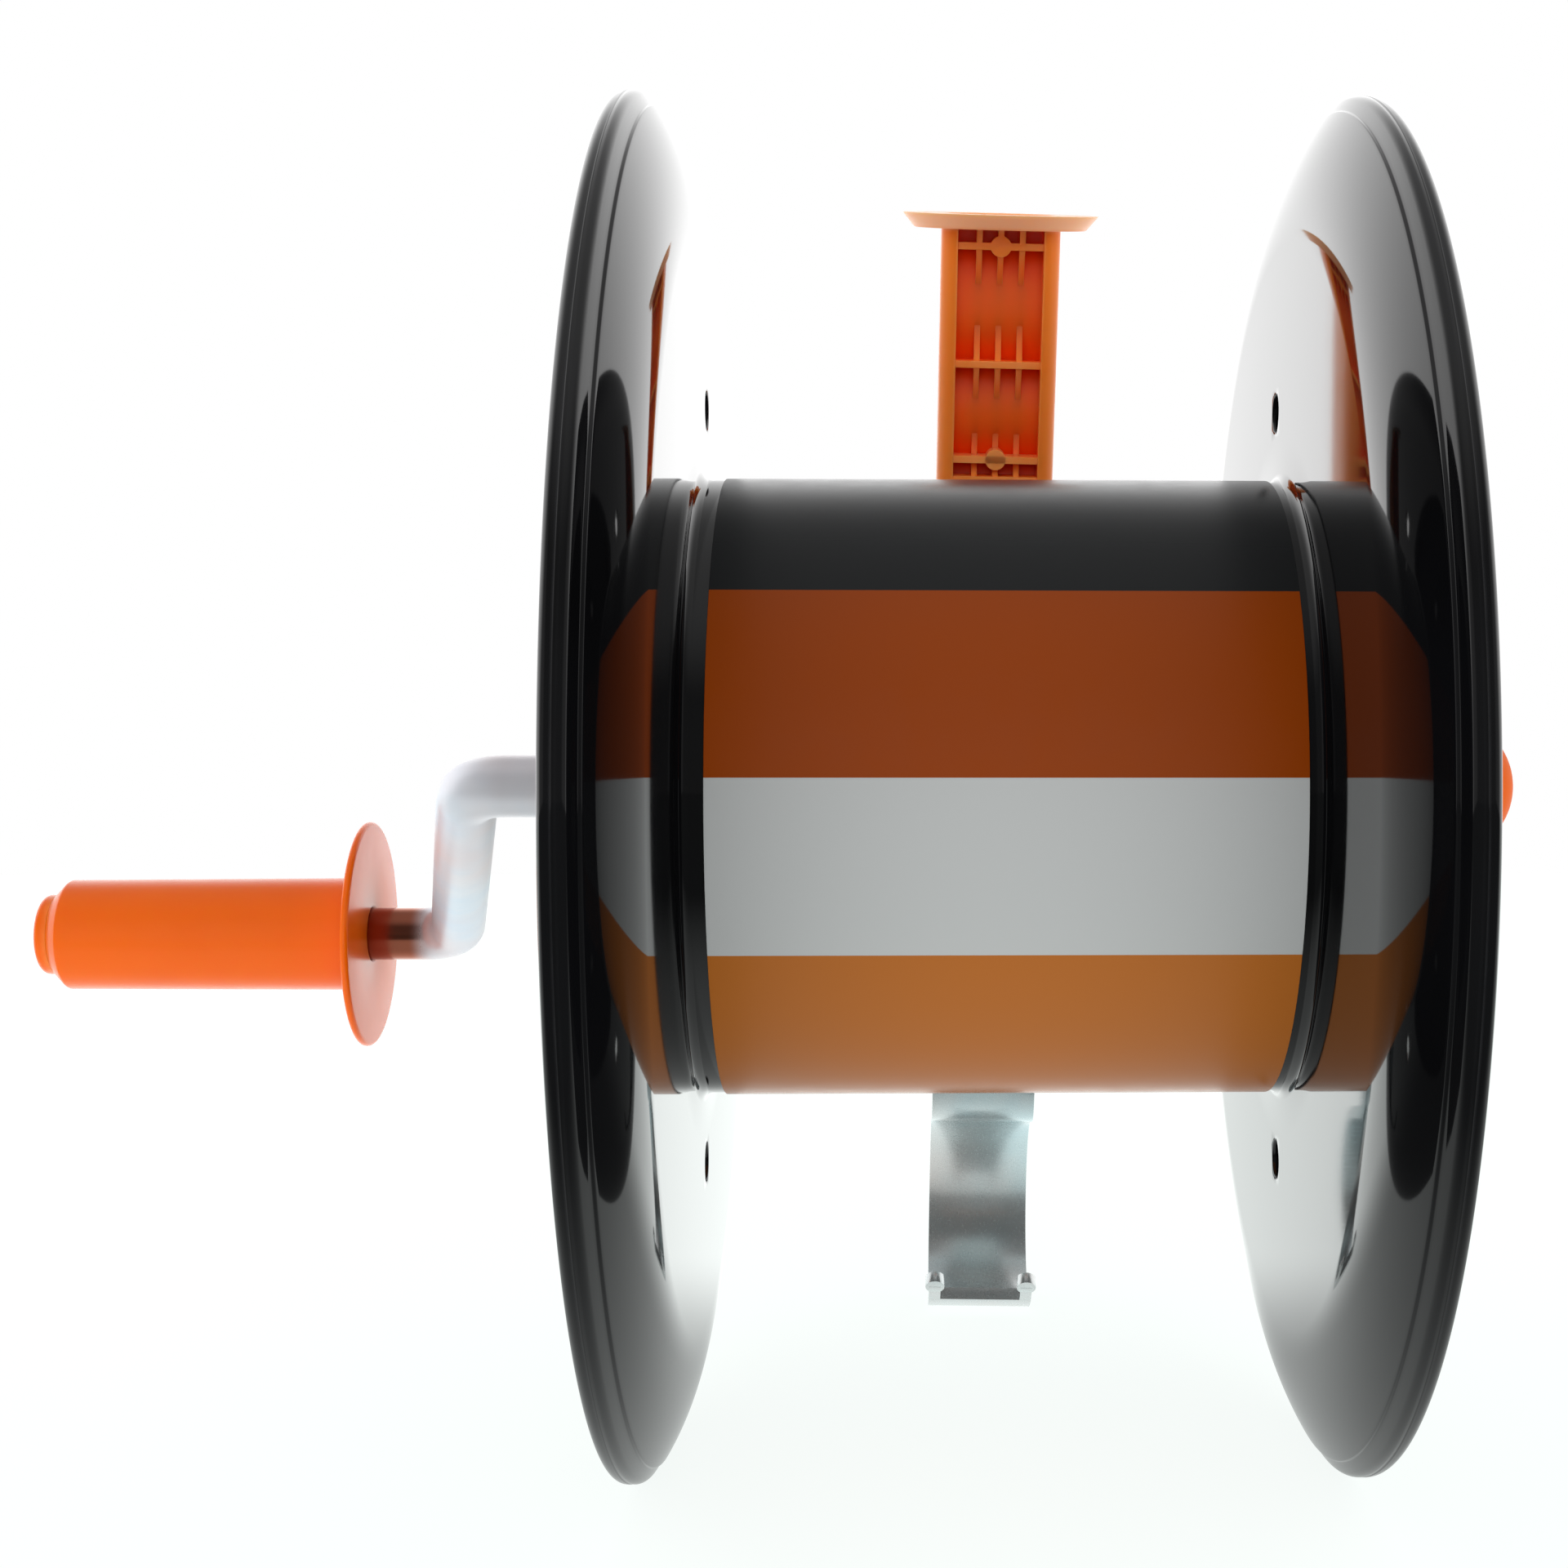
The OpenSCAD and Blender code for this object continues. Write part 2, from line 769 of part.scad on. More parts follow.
// Puts the handle strip's frame on the crossbar
module on_crossbar() {
    translate([strip_shift, 0, 0])
        rotate([0, strip_tilt, 0])
            children();
}

// Flat bar bent to a U behind the spool, with a bush hole in each arm
module yoke() {
    arm_mid = (arm_in + arm_out) / 2;
    bend_mid_r = yoke_bend_r + bar_t / 2;
    arm_run = crossbar_y - yoke_bend_r;
    color(zinc)
        difference() {
            union() {
                translate([arm_mid, 0, -bar_w / 2])
                    rotate([0, 0, 90])
                        linear_extrude(bar_w)
                            strip_run([
                                [arm_run],
                                [bend_mid_r, 90],
                                [2 * (arm_mid - bend_mid_r)],
                                [bend_mid_r, 90],
                                [arm_run],
                            ], bar_t);
                for (x = [-arm_out, arm_in])
                    on_axle(x)
                        cylinder(d = bar_w, h = bar_t);
            }
            on_axle(-arm_out - lap)
                cylinder(d = bush_d + 2 * fix_clear, h = 2 * (arm_out + lap));
            translate([arm_in - lap, pawl_y, 0])
                on_axle()
                    cylinder(d = pivot_d + 2 * fix_clear, h = bar_t + 2 * lap);
            on_crossbar()
                for (z = [-rivet_pitch / 2, rivet_pitch / 2])
                    translate([0, crossbar_y - lap, z])
                        rotate([-90, 0, 0])
                            cylinder(d = rivet_d + 2 * fix_clear, h = bar_t + 2 * lap);
        }
}

// Flanged nylon bush for the +X arm
module bush() {
    on_axle()
        rotate_extrude()
            translate([rod_r + run_clear, 0]) {
                translate([0, bush_in])
                    square([bush_flange_d / 2 - rod_r - run_clear, bush_flange_t]);
                translate([0, bush_in])
                    square([bush_d / 2 - rod_r - run_clear, bush_out - bush_in]);
            }
}

module right_bush() {
    color(nylon)
        bush();
}

module left_bush() {
    color(nylon)
        mirror([1, 0, 0])
            bush();
}

// Full-width part of the strip: the flat on the crossbar, the sway below it, the neck and the hook
module hook_run() {
    across(-strip_w / 2, strip_w)
        translate([plate_y, seat_h])
            rotate(-90)
                strip_run([
                    [2 * seat_h],
                    [sway_r, -sway_turn],
                    [run_l],
                    [neck_r, 90 + sway_turn],
                    [neck_l],
                    [hook_mid_r, -hook_wrap],
                ], strip_t);
}

// Narrower part of the strip, which leans up through the carry handle
module tang_run() {
    across(-tang_w / 2, tang_w)
        translate([plate_y, seat_h - lap])
            rotate(90)
                strip_run([[lap], [sway_r, handle_lean], [tang_l]], strip_t);
}

// Two round ears that carry the hook's curve on at the corners of its lip
module lip_ears() {
    ear_x = strip_w / 2 - ear_d / 2 + ear_flare;
    stem_w = ear_d - 2 * ear_flare;
    for (side = [-1, 1])
        translate([0, hook_y, hook_z]) {
            across(side * (strip_w - stem_w) / 2 - stem_w / 2, stem_w)
                rotate(90 - hook_wrap + ear_lap)
                    ring_sector(hook_r + hair, hook_r + strip_t - hair, -ear_wrap - ear_lap);
            rotate([-hook_wrap - ear_wrap, 0, 0])
                translate([side * ear_x, 0, hook_r + ear_inset])
                    cylinder(d = ear_d, h = strip_t - 2 * ear_inset);
        }
}

module handle_strip() {
    color(zinc)
        on_crossbar()
            difference() {
                union() {
                    hook_run();
                    tang_run();
                    lip_ears();
                }
                for (z = [-rivet_pitch / 2, rivet_pitch / 2])
                    translate([0, plate_y - strip_t, z])
                        rotate([-90, 0, 0])
                            cylinder(d = rivet_d + 2 * fix_clear, h = 2 * strip_t);
            }
}

module strip_rivets() {
    color(zinc)
        on_crossbar()
            for (z = [-rivet_pitch / 2, rivet_pitch / 2])
                translate([0, crossbar_y, z])
                    rotate([-90, 0, 0]) {
                        cylinder(d = rivet_d, h = bar_t + strip_t);
                        translate([0, 0, -rivet_head_h])
                            cylinder(d = rivet_head_d, h = rivet_head_h);
                        translate([0, 0, bar_t + strip_t])
                            cylinder(d = rivet_head_d, h = rivet_head_h);
                    }
}

// Frame of the carry handle: Z runs up the tang, the origin is on the tang at the handle's foot
module on_tang() {
    bend_end = [plate_y - sway_r * (1 - cos(handle_lean)), seat_h + sway_r * sin(handle_lean)];
    on_crossbar()
        translate([0, bend_end.x, bend_end.y])
            rotate([handle_lean, 0, 0])
                translate([0, 0, handle_rise])
                    children();
}

// Upright and cross ribs in the pocket on the -Y face, scooped between the cross ribs
module pocket_ribs() {
    face_y = rib_setback - handle_depth / 2;
    rib_h = pocket_h - rib_setback + lap;
    cell = pocket_w / (fin_count + 1);
    difference() {
        for (i = [1:fin_count])
            translate([-pocket_w / 2 + i * cell - fin_t / 2, face_y, 0])
                cube([fin_t, rib_h, handle_l]);
        for (i = [0:bay_count - 1])
            translate([-handle_w / 2, face_y + scoop_h - scoop_r, short_bay + (i + 0.5) * bay_l])
                rotate([0, 90, 0])
                    cylinder(r = scoop_r, h = handle_w);
    }
    for (i = [0:bay_count])
        translate([-pocket_w / 2 - lap, face_y, short_bay + i * bay_l - bridge_t / 2])
            cube([pocket_w + 2 * lap, rib_h, bridge_t]);
    for (i = [0, bay_count])
        translate([0, face_y, short_bay + i * bay_l])
            rotate([-90, 0, 0])
                cylinder(d = boss_d, h = rib_h);
}

module carry_handle() {
    slot_w = tang_w + 2 * fix_clear;
    slot_t = strip_t + 2 * fix_clear;
    color(orange)
        on_tang() {
            difference() {
                union() {
                    linear_extrude(handle_l)
                        translate([-handle_w / 2, -handle_depth / 2])
                            soft_rect([handle_w, handle_depth], handle_edge_r);
                    translate([0, 0, handle_l])
                        cylinder(r1 = disc_d / 2 - disc_bevel, r2 = disc_d / 2, h = disc_t);
                }
                for (a = [0, 180])
                    rotate(a)
                        translate([-pocket_w / 2, -handle_depth / 2 - lap, -lap])
                            cube([pocket_w, pocket_h + lap, handle_l + lap]);
                translate([-slot_w / 2, -slot_t / 2, -lap])
                    cube([slot_w, slot_t, handle_l + disc_t + 2 * lap]);
                translate([0, 0, handle_l + disc_t - dish_h])
                    cylinder(d = dish_d, h = 2 * dish_h);
            }
            for (a = [0, 180])
                rotate(a)
                    pocket_ribs();
        }
}

// Moves a shape drawn with the pawl engaged to the released rest position
module released() {
    translate([0, pawl_y, 0])
        rotate([-pawl_travel, 0, 0])
            translate([0, -pawl_y, 0])
                children();
}

// Side view of the pawl's arm: the nose fills one tooth gap and the underside arches over the next tip
module pawl_outline() {
    pivot = [pawl_y, 0];
    out = polar(1, nose_angle);
    polygon([
        polar(tooth_root_r + nose_clear, tooth_face - atan(nose_clear / tooth_root_r)),
        polar(tooth_tip_r + nose_h, tooth_face - atan(nose_clear / tooth_tip_r)),
        pivot + out * (pawl_boss_r - arm_inset.x),
        pivot - out * (pawl_boss_r - arm_inset.y),
        polar(tooth_tip_r + arch_clear, tooth_face - tooth_pitch - arch_lag),
    ]);
    translate(pivot)
        circle(r = pawl_boss_r);
    translate([tab_y, -tab_drop - tab_t])
        square([tab_w, tab_drop + tab_t]);
}

module pawl() {
    pawl_in = pad_out;
    seat = pawl_in + pivot_head_h + 2 * free_gap;
    color(orange)
        released()
            difference() {
                union() {
                    across(pawl_in, ratchet_t)
                        pawl_outline();
                    translate([0, pawl_y, 0])
                        on_axle(pawl_in)
                            cylinder(r = pawl_boss_r, h = arm_in - washer_t - free_gap - pawl_in);
                    translate([pawl_in, tab_y, -tab_drop - tab_t])
                        cube([arm_out + tab_reach - pawl_in, tab_w, tab_t]);
                }
                translate([0, pawl_y, 0]) {
                    on_axle(pawl_in - lap)
                        cylinder(d = pivot_d + 2 * run_clear, h = arm_in);
                    on_axle(pawl_in - lap)
                        cylinder(r = pivot_head_r + free_gap, h = seat - pawl_in + lap);
                }
            }
}

// Headed pivot, riveted over on the outside of the arm
module pawl_pivot() {
    head_x = pad_out + free_gap;
    color(zinc)
        translate([0, pawl_y, 0]) {
            on_axle(head_x)
                cylinder(r = pivot_head_r, h = pivot_head_h);
            on_axle(head_x)
                cylinder(d = pivot_d, h = arm_out - head_x + lap);
            on_axle(arm_out)
                cylinder(r = pivot_head_r, h = pivot_head_h);
        }
}

module pawl_washer() {
    color(zinc)
        translate([0, pawl_y, 0])
            ring_x(arm_in - washer_t, washer_t, pawl_boss_r - arm_inset.x, pivot_d / 2 + fix_clear);
}

drum();
left_flange();
right_flange();
label_band();
tie_bolts();
tie_nuts();
ratchet_ring();
crank_axle();
drive_pin();
axle_washer();
axle_retainer();
axle_cap();
grip_retainer();
crank_grip();
grip_plug();
yoke();
left_bush();
right_bush();
handle_strip();
strip_rivets();
carry_handle();
pawl();
pawl_pivot();
pawl_washer();
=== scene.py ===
"""Studio scene of a hand-cranked electric fence reel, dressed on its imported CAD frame."""

import logging
import math
from collections.abc import Iterator
from contextlib import contextmanager
from dataclasses import dataclass, field
from enum import Enum

import bmesh
import bpy
from mathutils import Matrix, Vector

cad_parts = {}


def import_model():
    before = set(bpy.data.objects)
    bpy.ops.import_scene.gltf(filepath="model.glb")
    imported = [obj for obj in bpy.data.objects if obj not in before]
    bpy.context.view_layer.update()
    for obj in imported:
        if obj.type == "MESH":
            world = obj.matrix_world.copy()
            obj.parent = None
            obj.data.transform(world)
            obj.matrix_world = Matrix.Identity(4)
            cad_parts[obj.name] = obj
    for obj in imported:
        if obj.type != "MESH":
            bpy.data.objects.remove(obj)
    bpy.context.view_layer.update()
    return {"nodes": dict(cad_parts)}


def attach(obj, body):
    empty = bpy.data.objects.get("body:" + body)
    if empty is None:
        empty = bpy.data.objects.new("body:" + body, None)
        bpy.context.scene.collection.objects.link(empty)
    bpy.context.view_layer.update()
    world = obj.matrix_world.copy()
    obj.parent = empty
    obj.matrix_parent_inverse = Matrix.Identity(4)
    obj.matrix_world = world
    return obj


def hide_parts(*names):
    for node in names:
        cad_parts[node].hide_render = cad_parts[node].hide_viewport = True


MM = 0.001
LOG = logging.getLogger("fence_reel")

Point = tuple[float, float]
Colour = tuple[float, float, float, float]
Node = bpy.types.Node
Piece = bpy.types.Object
Socket = bpy.types.NodeSocket
Tree = bpy.types.NodeTree
Feed = Node | Socket | float | Colour

# Node types that are used most, and the setting that eases both ends of a mapped range
MATH = "ShaderNodeMath"
MIX = "ShaderNodeMix"
RANGE = "ShaderNodeMapRange"
SMOOTH = {"interpolation_type": "SMOOTHSTEP"}
# Mesh attribute of the rubbed outer edges, and the bends in degrees over which it rises
EDGE_MARK = "outer_edge"
EDGE_BENDS = (18.0, 43.0)
# Bend in degrees from which an edge is shaded as a sharp one
SHARP_BEND = 32.0
# Bend in degrees from which an edge is eased, and the faces across an eased edge
EASED_BEND = 30.0
EASED_SEGMENTS = 2
# Bend in degrees under which two faces of a copied node are one flat face
FLAT_BEND = 0.5
# Distance in mm under which two points are one
WELD = 0.002
# Where a rounded corner of a section has its points, and how much of a side it may take
CORNER_STEPS = (0.0, 0.33, 0.67, 1.0)
CORNER_REACH = 0.45
# Middle of a noise value, which is spread over a finish's range
NOISE_MIDDLE = (0.3, 0.7)
# Count of dull bounces that tells a ray without one from the others
FIRST_BOUNCE = 0.5
# Degrees that the crank hangs below the level at rest
CRANK_REST = 21.0


class Slot(Enum):
    """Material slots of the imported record."""

    BLACK = "black_moulding"
    ORANGE = "orange_moulding"
    ZINC = "zinc_steel"
    BAND = "printed_band"
    NYLON = "nylon"


class Body(Enum):
    """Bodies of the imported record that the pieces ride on."""

    FRAME = "frame"
    SPOOL = "spool"
    GRIP = "grip"
    PAWL = "pawl"


class Side(Enum):
    """The two flanges, by their CAD nodes."""

    LEFT = "left_flange"
    RIGHT = "right_flange"


def linear(code: str) -> Colour:
    """Turns an sRGB hex colour into linear RGBA by the standard's curve.

    Args:
        code: Colour as "#RRGGBB".

    Returns:
        The linear colour, opaque.
    """
    channels = [int(code[i : i + 2], 16) / 255 for i in (1, 3, 5)]
    red, green, blue = (
        c / 12.92 if c <= 0.04045 else ((c + 0.055) / 1.055) ** 2.4 for c in channels
    )
    return red, green, blue, 1.0


def add_node(
    tree: Tree, kind: str, inputs: dict[str | int, object] | None = None, **settings: object
) -> Node:
    """Adds one node with its settings, values and links.

    Args:
        tree: Node tree that takes the node.
        kind: Node type name.
        inputs: Values, source sockets or source nodes by input name or number. A source
            node stands for the first of its outputs that is in use.
        **settings: Node properties.

    Returns:
        The new node.
    """
    node = tree.nodes.new(kind)
    for name, value in settings.items():
        setattr(node, name, value)
    for key, value in (inputs or {}).items():
        if isinstance(value, Node):
            value = next(socket for socket in value.outputs if socket.enabled)
        if isinstance(value, Socket):
            tree.links.new(value, node.inputs[key])
        else:
            node.inputs[key].default_value = value
    return node


def on_range(value: Feed, span: Point, levels: Point) -> dict[str, Feed]:
    """Inputs that map a span of a value onto the range between two levels."""
    ends = {"From Min": span[0], "From Max": span[1], "To Min": levels[0], "To Max": levels[1]}
    return {"Value": value, **ends}


def direct_mirror(tree: Tree, path: Node) -> Node:
    """Share of a ray that is a reflection seen without a dull bounce before it.

    Args:
        tree: Node tree of the light.
        path: Its Light Path node.

    Returns:
        The node with the share.
    """
    bounces, glossy = path.outputs["Diffuse Depth"], path.outputs["Is Glossy Ray"]
    first = add_node(tree, MATH, {0: bounces, 1: FIRST_BOUNCE}, operation="LESS_THAN")
    return add_node(tree, MATH, {0: glossy, 1: first}, operation="MULTIPLY")


@dataclass(frozen=True)
class Finish:
    """Base of the procedural finishes; each one is made once and shared."""

    name: str

    def build(self) -> bpy.types.Material:
        """Makes the material, or hands out the one that is there.

        Returns:
            The material.
        """
        found = bpy.data.materials.get(self.name)
        if found:
            return found
        material = bpy.data.materials.new(self.name)
        material.use_nodes = True
        tree = material.node_tree
        tree.nodes.clear()
        add_node(tree, "ShaderNodeOutputMaterial", {"Surface": self.shade(tree)})
        return material

    def shade(self, tree: Tree) -> Node:
        """Builds the shader's nodes in the material's tree and returns the last one."""
        raise NotImplementedError

    def noise(self, tree: Tree, grain_mm: float, detail: float = 2.0) -> Node:
        """Noise whose features have a real width.

        Args:
            tree: Node tree of the material.
            grain_mm: Width of the features on the real object.
            detail: Number of finer layers.

        Returns:
            The node with the noise.
        """
        where = add_node(tree, "ShaderNodeTexCoord").outputs["Object"]
        inputs = {"Vector": where, "Scale": 1 / (grain_mm * MM), "Detail": detail}
        return add_node(tree, "ShaderNodeTexNoise", inputs)

    def rubbing(self, tree: Tree, grain: Node) -> Node:
        """Share of rubbed outer edge that the mesh carries, broken up by a noise."""
        edge = add_node(tree, "ShaderNodeAttribute", attribute_name=EDGE_MARK).outputs["Fac"]
        return add_node(tree, MATH, {0: edge, 1: grain}, operation="MULTIPLY")


@dataclass(frozen=True)
class Moulding(Finish):
    """Injection-moulded plastic: even colour, slow sink ripples, scuffed edges."""

    colour: str
    cloud: str
    rubbed: str
    roughness: float
    ripple_mm: float
    ripple_depth_mm: float
    soft: float = 0.0
    sheen: float = 0.5
    ior: float = 1.5
    scuff_mm: float = 6.0
    scuff_detail: float = 3.0
    rough_shares: Point = (0.94, 1.1)
    light_reach: tuple[float, float, float] = (0.006, 0.002, 0.0008)

    def tone(self, tree: Tree, ripple: Node) -> Node:
        """Body colour with its slow clouds.

        Args:
            tree: Node tree of the material.
            ripple: Noise of the clouds.

        Returns:
            The node with the colour.
        """
        share = add_node(tree, RANGE, on_range(ripple, NOISE_MIDDLE, (0.0, 1.0)))
        colours = {"Factor": share, "A": linear(self.colour), "B": linear(self.cloud)}
        return add_node(tree, MIX, colours, data_type="RGBA")

    def shade(self, tree: Tree) -> Node:
        """Builds the plastic.

        Args:
            tree: Node tree of the material.

        Returns:
            The shader node.
        """
        ripple = self.noise(tree, self.ripple_mm)
        scuff = self.noise(tree, self.scuff_mm, self.scuff_detail)
        rub, tone = self.rubbing(tree, scuff), self.tone(tree, ripple)
        colours = {"Factor": rub, "A": tone, "B": linear(self.rubbed)}
        levels = tuple(share * self.roughness for share in self.rough_shares)
        bump = {"Height": ripple, "Distance": self.ripple_depth_mm * MM, "Strength": 1.0}
        return add_node(
            tree,
            "ShaderNodeBsdfPrincipled",
            {
                "Base Color": add_node(tree, MIX, colours, data_type="RGBA"),
                "Roughness": add_node(tree, RANGE, on_range(scuff, NOISE_MIDDLE, levels)),
                "IOR": self.ior,
                "Specular IOR Level": self.sheen,
                "Subsurface Weight": self.soft,
                "Subsurface Radius": self.light_reach,
                "Subsurface Scale": 1.0,
                "Normal": add_node(tree, "ShaderNodeBump", bump),
            },
        )


@dataclass(frozen=True)
class PaintedLightMoulding(Moulding):
    """Moulding with painted light: a painted sheen makes it palest on the top disc, and painted
    shade keeps it a deep red inside its pockets.

    The spans are in metres along the piece's own axes, which the rows of to_local give.
    """

    # Painted shade inside the pockets, and a painted sheen on the top disc
    pocket_shade: str = "#FC4400"
    top_sheen: str = "#FBB182"
    to_local: tuple[tuple[float, ...], ...] = ()
    across_span: Point = (0.0106, 0.0112)
    deep_span: Point = (0.0042, 0.0108)
    top_span: Point = (0.0915, 0.0935)

    def tone(self, tree: Tree, ripple: Node) -> Node:
        """Body colour, with painted shade deeper inside the pockets and a painted sheen paler on
        the top disc.

        Args:
            tree: Node tree of the material.
            ripple: Noise of the clouds.

        Returns:
            The node with the colour.
        """
        where = add_node(tree, "ShaderNodeTexCoord").outputs["Object"]
        local = []
        for *axis, start in self.to_local[:3]:
            along = add_node(
                tree, "ShaderNodeVectorMath", {0: where, 1: axis}, operation="DOT_PRODUCT"
            )
            local.append(add_node(tree, MATH, {0: along, 1: start}, operation="ADD"))
        inside = []
        for place, span in zip(local, (self.across_span, self.deep_span)):
            reach = add_node(tree, MATH, {0: place}, operation="ABSOLUTE")
            inside.append(add_node(tree, RANGE, on_range(reach, span, (1.0, 0.0)), **SMOOTH))
        pocket = add_node(tree, MATH, dict(enumerate(inside)), operation="MULTIPLY")
        top = add_node(tree, RANGE, on_range(local[2], self.top_span, (0.0, 1.0)), **SMOOTH)
        colour = super().tone(tree, ripple)
        # Painted shade goes into the pockets and a painted sheen onto the top disc
        for share, code in ((pocket, self.pocket_shade), (top, self.top_sheen)):
            colours = {"Factor": share, "A": colour, "B": linear(code)}
            colour = add_node(tree, MIX, colours, data_type="RGBA")
        return colour


@dataclass(frozen=True)
class ZincPlate(Finish):
    """Bright zinc plate: pale steel with faint blue and pink passivation clouds.

    Where a rubbed span along X is given, the plate is rubbed through to smoother steel on the
    low side of that span, and its colour there is a painted dark red-brown reflection of the
    shaded orange guard.
    """

    colour: str
    blue: str
    pink: str
    worn: str
    roughness: float
    haze: float
    rubbed_guard_reflection_x: Point | None = None
    # Painted reflection: dark red-brown of the shaded orange guard, where the plate is rubbed
    # through
    rubbed: str = "#9E5D48"
    rubbed_roughness: float = 0.16
    cloud_mm: float = 14.0
    cloud_ratio: float = 2.3
    cloud_detail: float = 3.0
    grain_mm: float = 0.6
    grain_detail: float = 4.0
    rough_shares: Point = (0.94, 1.08)

    def film(self, tree: Tree) -> Feed:
        """Colour of the plate with its two sets of clouds.

        Args:
            tree: Node tree of the material.

        Returns:
            The node with the colour.
        """
        colour: Feed = linear(self.colour)
        for ratio, code in ((1.0, self.blue), (self.cloud_ratio, self.pink)):
            cloud = self.noise(tree, ratio * self.cloud_mm, self.cloud_detail)
            share = add_node(tree, RANGE, on_range(cloud, NOISE_MIDDLE, (0.0, 1.0)))
            colours = {"Factor": share, "A": colour, "B": linear(code)}
            colour = add_node(tree, MIX, colours, data_type="RGBA")
        return colour

    def rub_through_with_painted_reflection(self, tree: Tree, plate: dict[str, Feed]) -> dict[str, Feed]:
        """Turns the plate's shader inputs to those of smoother rubbed-through steel, coloured
        with a painted dark red-brown reflection of the orange guard.

        Args:
            tree: Node tree of the material.
            plate: Shader inputs of the plate.

        Returns:
            The shader inputs.
        """
        where = add_node(tree, "ShaderNodeTexCoord").outputs["Object"]
        along = add_node(tree, "ShaderNodeSeparateXYZ", {0: where}).outputs["X"]
        share = add_node(tree, RANGE, on_range(along, self.rubbed_guard_reflection_x, (1.0, 0.0)), **SMOOTH)
        metal = on_range(along, self.rubbed_guard_reflection_x, (1.0, plate["Metallic"]))
        # The rubbed span takes the painted red-brown reflection of the guard
        colours = {"Factor": share, "A": plate["Base Color"], "B": linear(self.rubbed)}
        rough = {"Factor": share, "A": plate["Roughness"], "B": self.rubbed_roughness}
        return {
            "Base Color": add_node(tree, MIX, colours, data_type="RGBA"),
            "Metallic": add_node(tree, RANGE, metal, **SMOOTH),
            "Roughness": add_node(tree, MIX, rough),
        }

    def shade(self, tree: Tree) -> Node:
        """Builds the plated metal.

        Args:
            tree: Node tree of the material.

        Returns:
            The shader node.
        """
        grain = self.noise(tree, self.grain_mm, self.grain_detail)
        rub, film = self.rubbing(tree, grain), self.film(tree)
        colours = {"Factor": rub, "A": film, "B": linear(self.worn)}
        levels = tuple(share * self.roughness for share in self.rough_shares)
        inputs = {
            "Base Color": add_node(tree, MIX, colours, data_type="RGBA"),
            "Metallic": 1.0 - self.haze,
            "Roughness": add_node(tree, RANGE, on_range(grain, NOISE_MIDDLE, levels)),
        }
        if self.rubbed_guard_reflection_x:
            inputs = self.rub_through_with_painted_reflection(tree, inputs)
        return add_node(tree, "ShaderNodeBsdfPrincipled", inputs)


@dataclass(frozen=True)
class PrintedFilm(Finish):
    """Satin film round the drum, printed in colour bands that carry painted light: the upper
    orange and the white band are painted darker as shade, and the lower orange is painted
    lighter as light from below.

    The bands are the angles in degrees above the front where the lower, the pale, the
    upper and the black band start.
    """

    black: str
    # Orange print of the upper band, painted dark as shade
    upper: str
    # White print of the middle band, painted grey as shade
    pale: str
    # Orange print of the lower band, painted lighter as light from the floor
    lower: str
    roughness: float
    sheen: float
    bands: tuple[float, float, float, float] = (-100.0, -30.0, 1.0, 35.0)
    ior: float = 1.49
    wrinkle_mm: float = 18.0
    wrinkle_depth_mm: float = 0.03
    scuff_mm: float = 5.0
    scuff_detail: float = 3.0
    rough_shares: Point = (0.94, 1.08)

    def print_with_painted_light(self, tree: Tree) -> Node:
        """Colour of the print by the angle round the drum, with the bands' painted shade and
        painted light.

        Args:
            tree: Node tree of the material.

        Returns:
            The node with the colour.
        """
        where = add_node(tree, "ShaderNodeTexCoord").outputs["Object"]
        axes = add_node(tree, "ShaderNodeSeparateXYZ", {0: where}).outputs
        front = add_node(tree, MATH, {0: axes["Y"], 1: -1.0}, operation="MULTIPLY")
        angle = add_node(tree, MATH, {0: axes["Z"], 1: front}, operation="ARCTAN2")
        turn = add_node(tree, RANGE, on_range(angle, (-math.pi, math.pi), (0.0, 1.0)))
        ramp = add_node(tree, "ShaderNodeValToRGB", {"Fac": turn})
        ramp.color_ramp.interpolation = "CONSTANT"
        stops = ramp.color_ramp.elements
        stops[0].color = linear(self.black)
        stops.remove(stops[1])
        codes = (self.lower, self.pale, self.upper, self.black)
        for degrees, code in zip(self.bands, codes):
            stop = stops.new((degrees + 180) / 360)
            stop.color = linear(code)
        return ramp

    def shade(self, tree: Tree) -> Node:
        """Builds the banded film.

        Args:
            tree: Node tree of the material.

        Returns:
            The shader node.
        """
        wrinkle = self.noise(tree, self.wrinkle_mm)
        scuff = self.noise(tree, self.scuff_mm, self.scuff_detail)
        levels = tuple(share * self.roughness for share in self.rough_shares)
        bump = {"Height": wrinkle, "Distance": self.wrinkle_depth_mm * MM, "Strength": 1.0}
        return add_node(
            tree,
            "ShaderNodeBsdfPrincipled",
            {
                "Base Color": self.print_with_painted_light(tree),
                "Roughness": add_node(tree, RANGE, on_range(scuff, NOISE_MIDDLE, levels)),
                "IOR": self.ior,
                "Specular IOR Level": self.sheen,
                "Normal": add_node(tree, "ShaderNodeBump", bump),
            },
        )


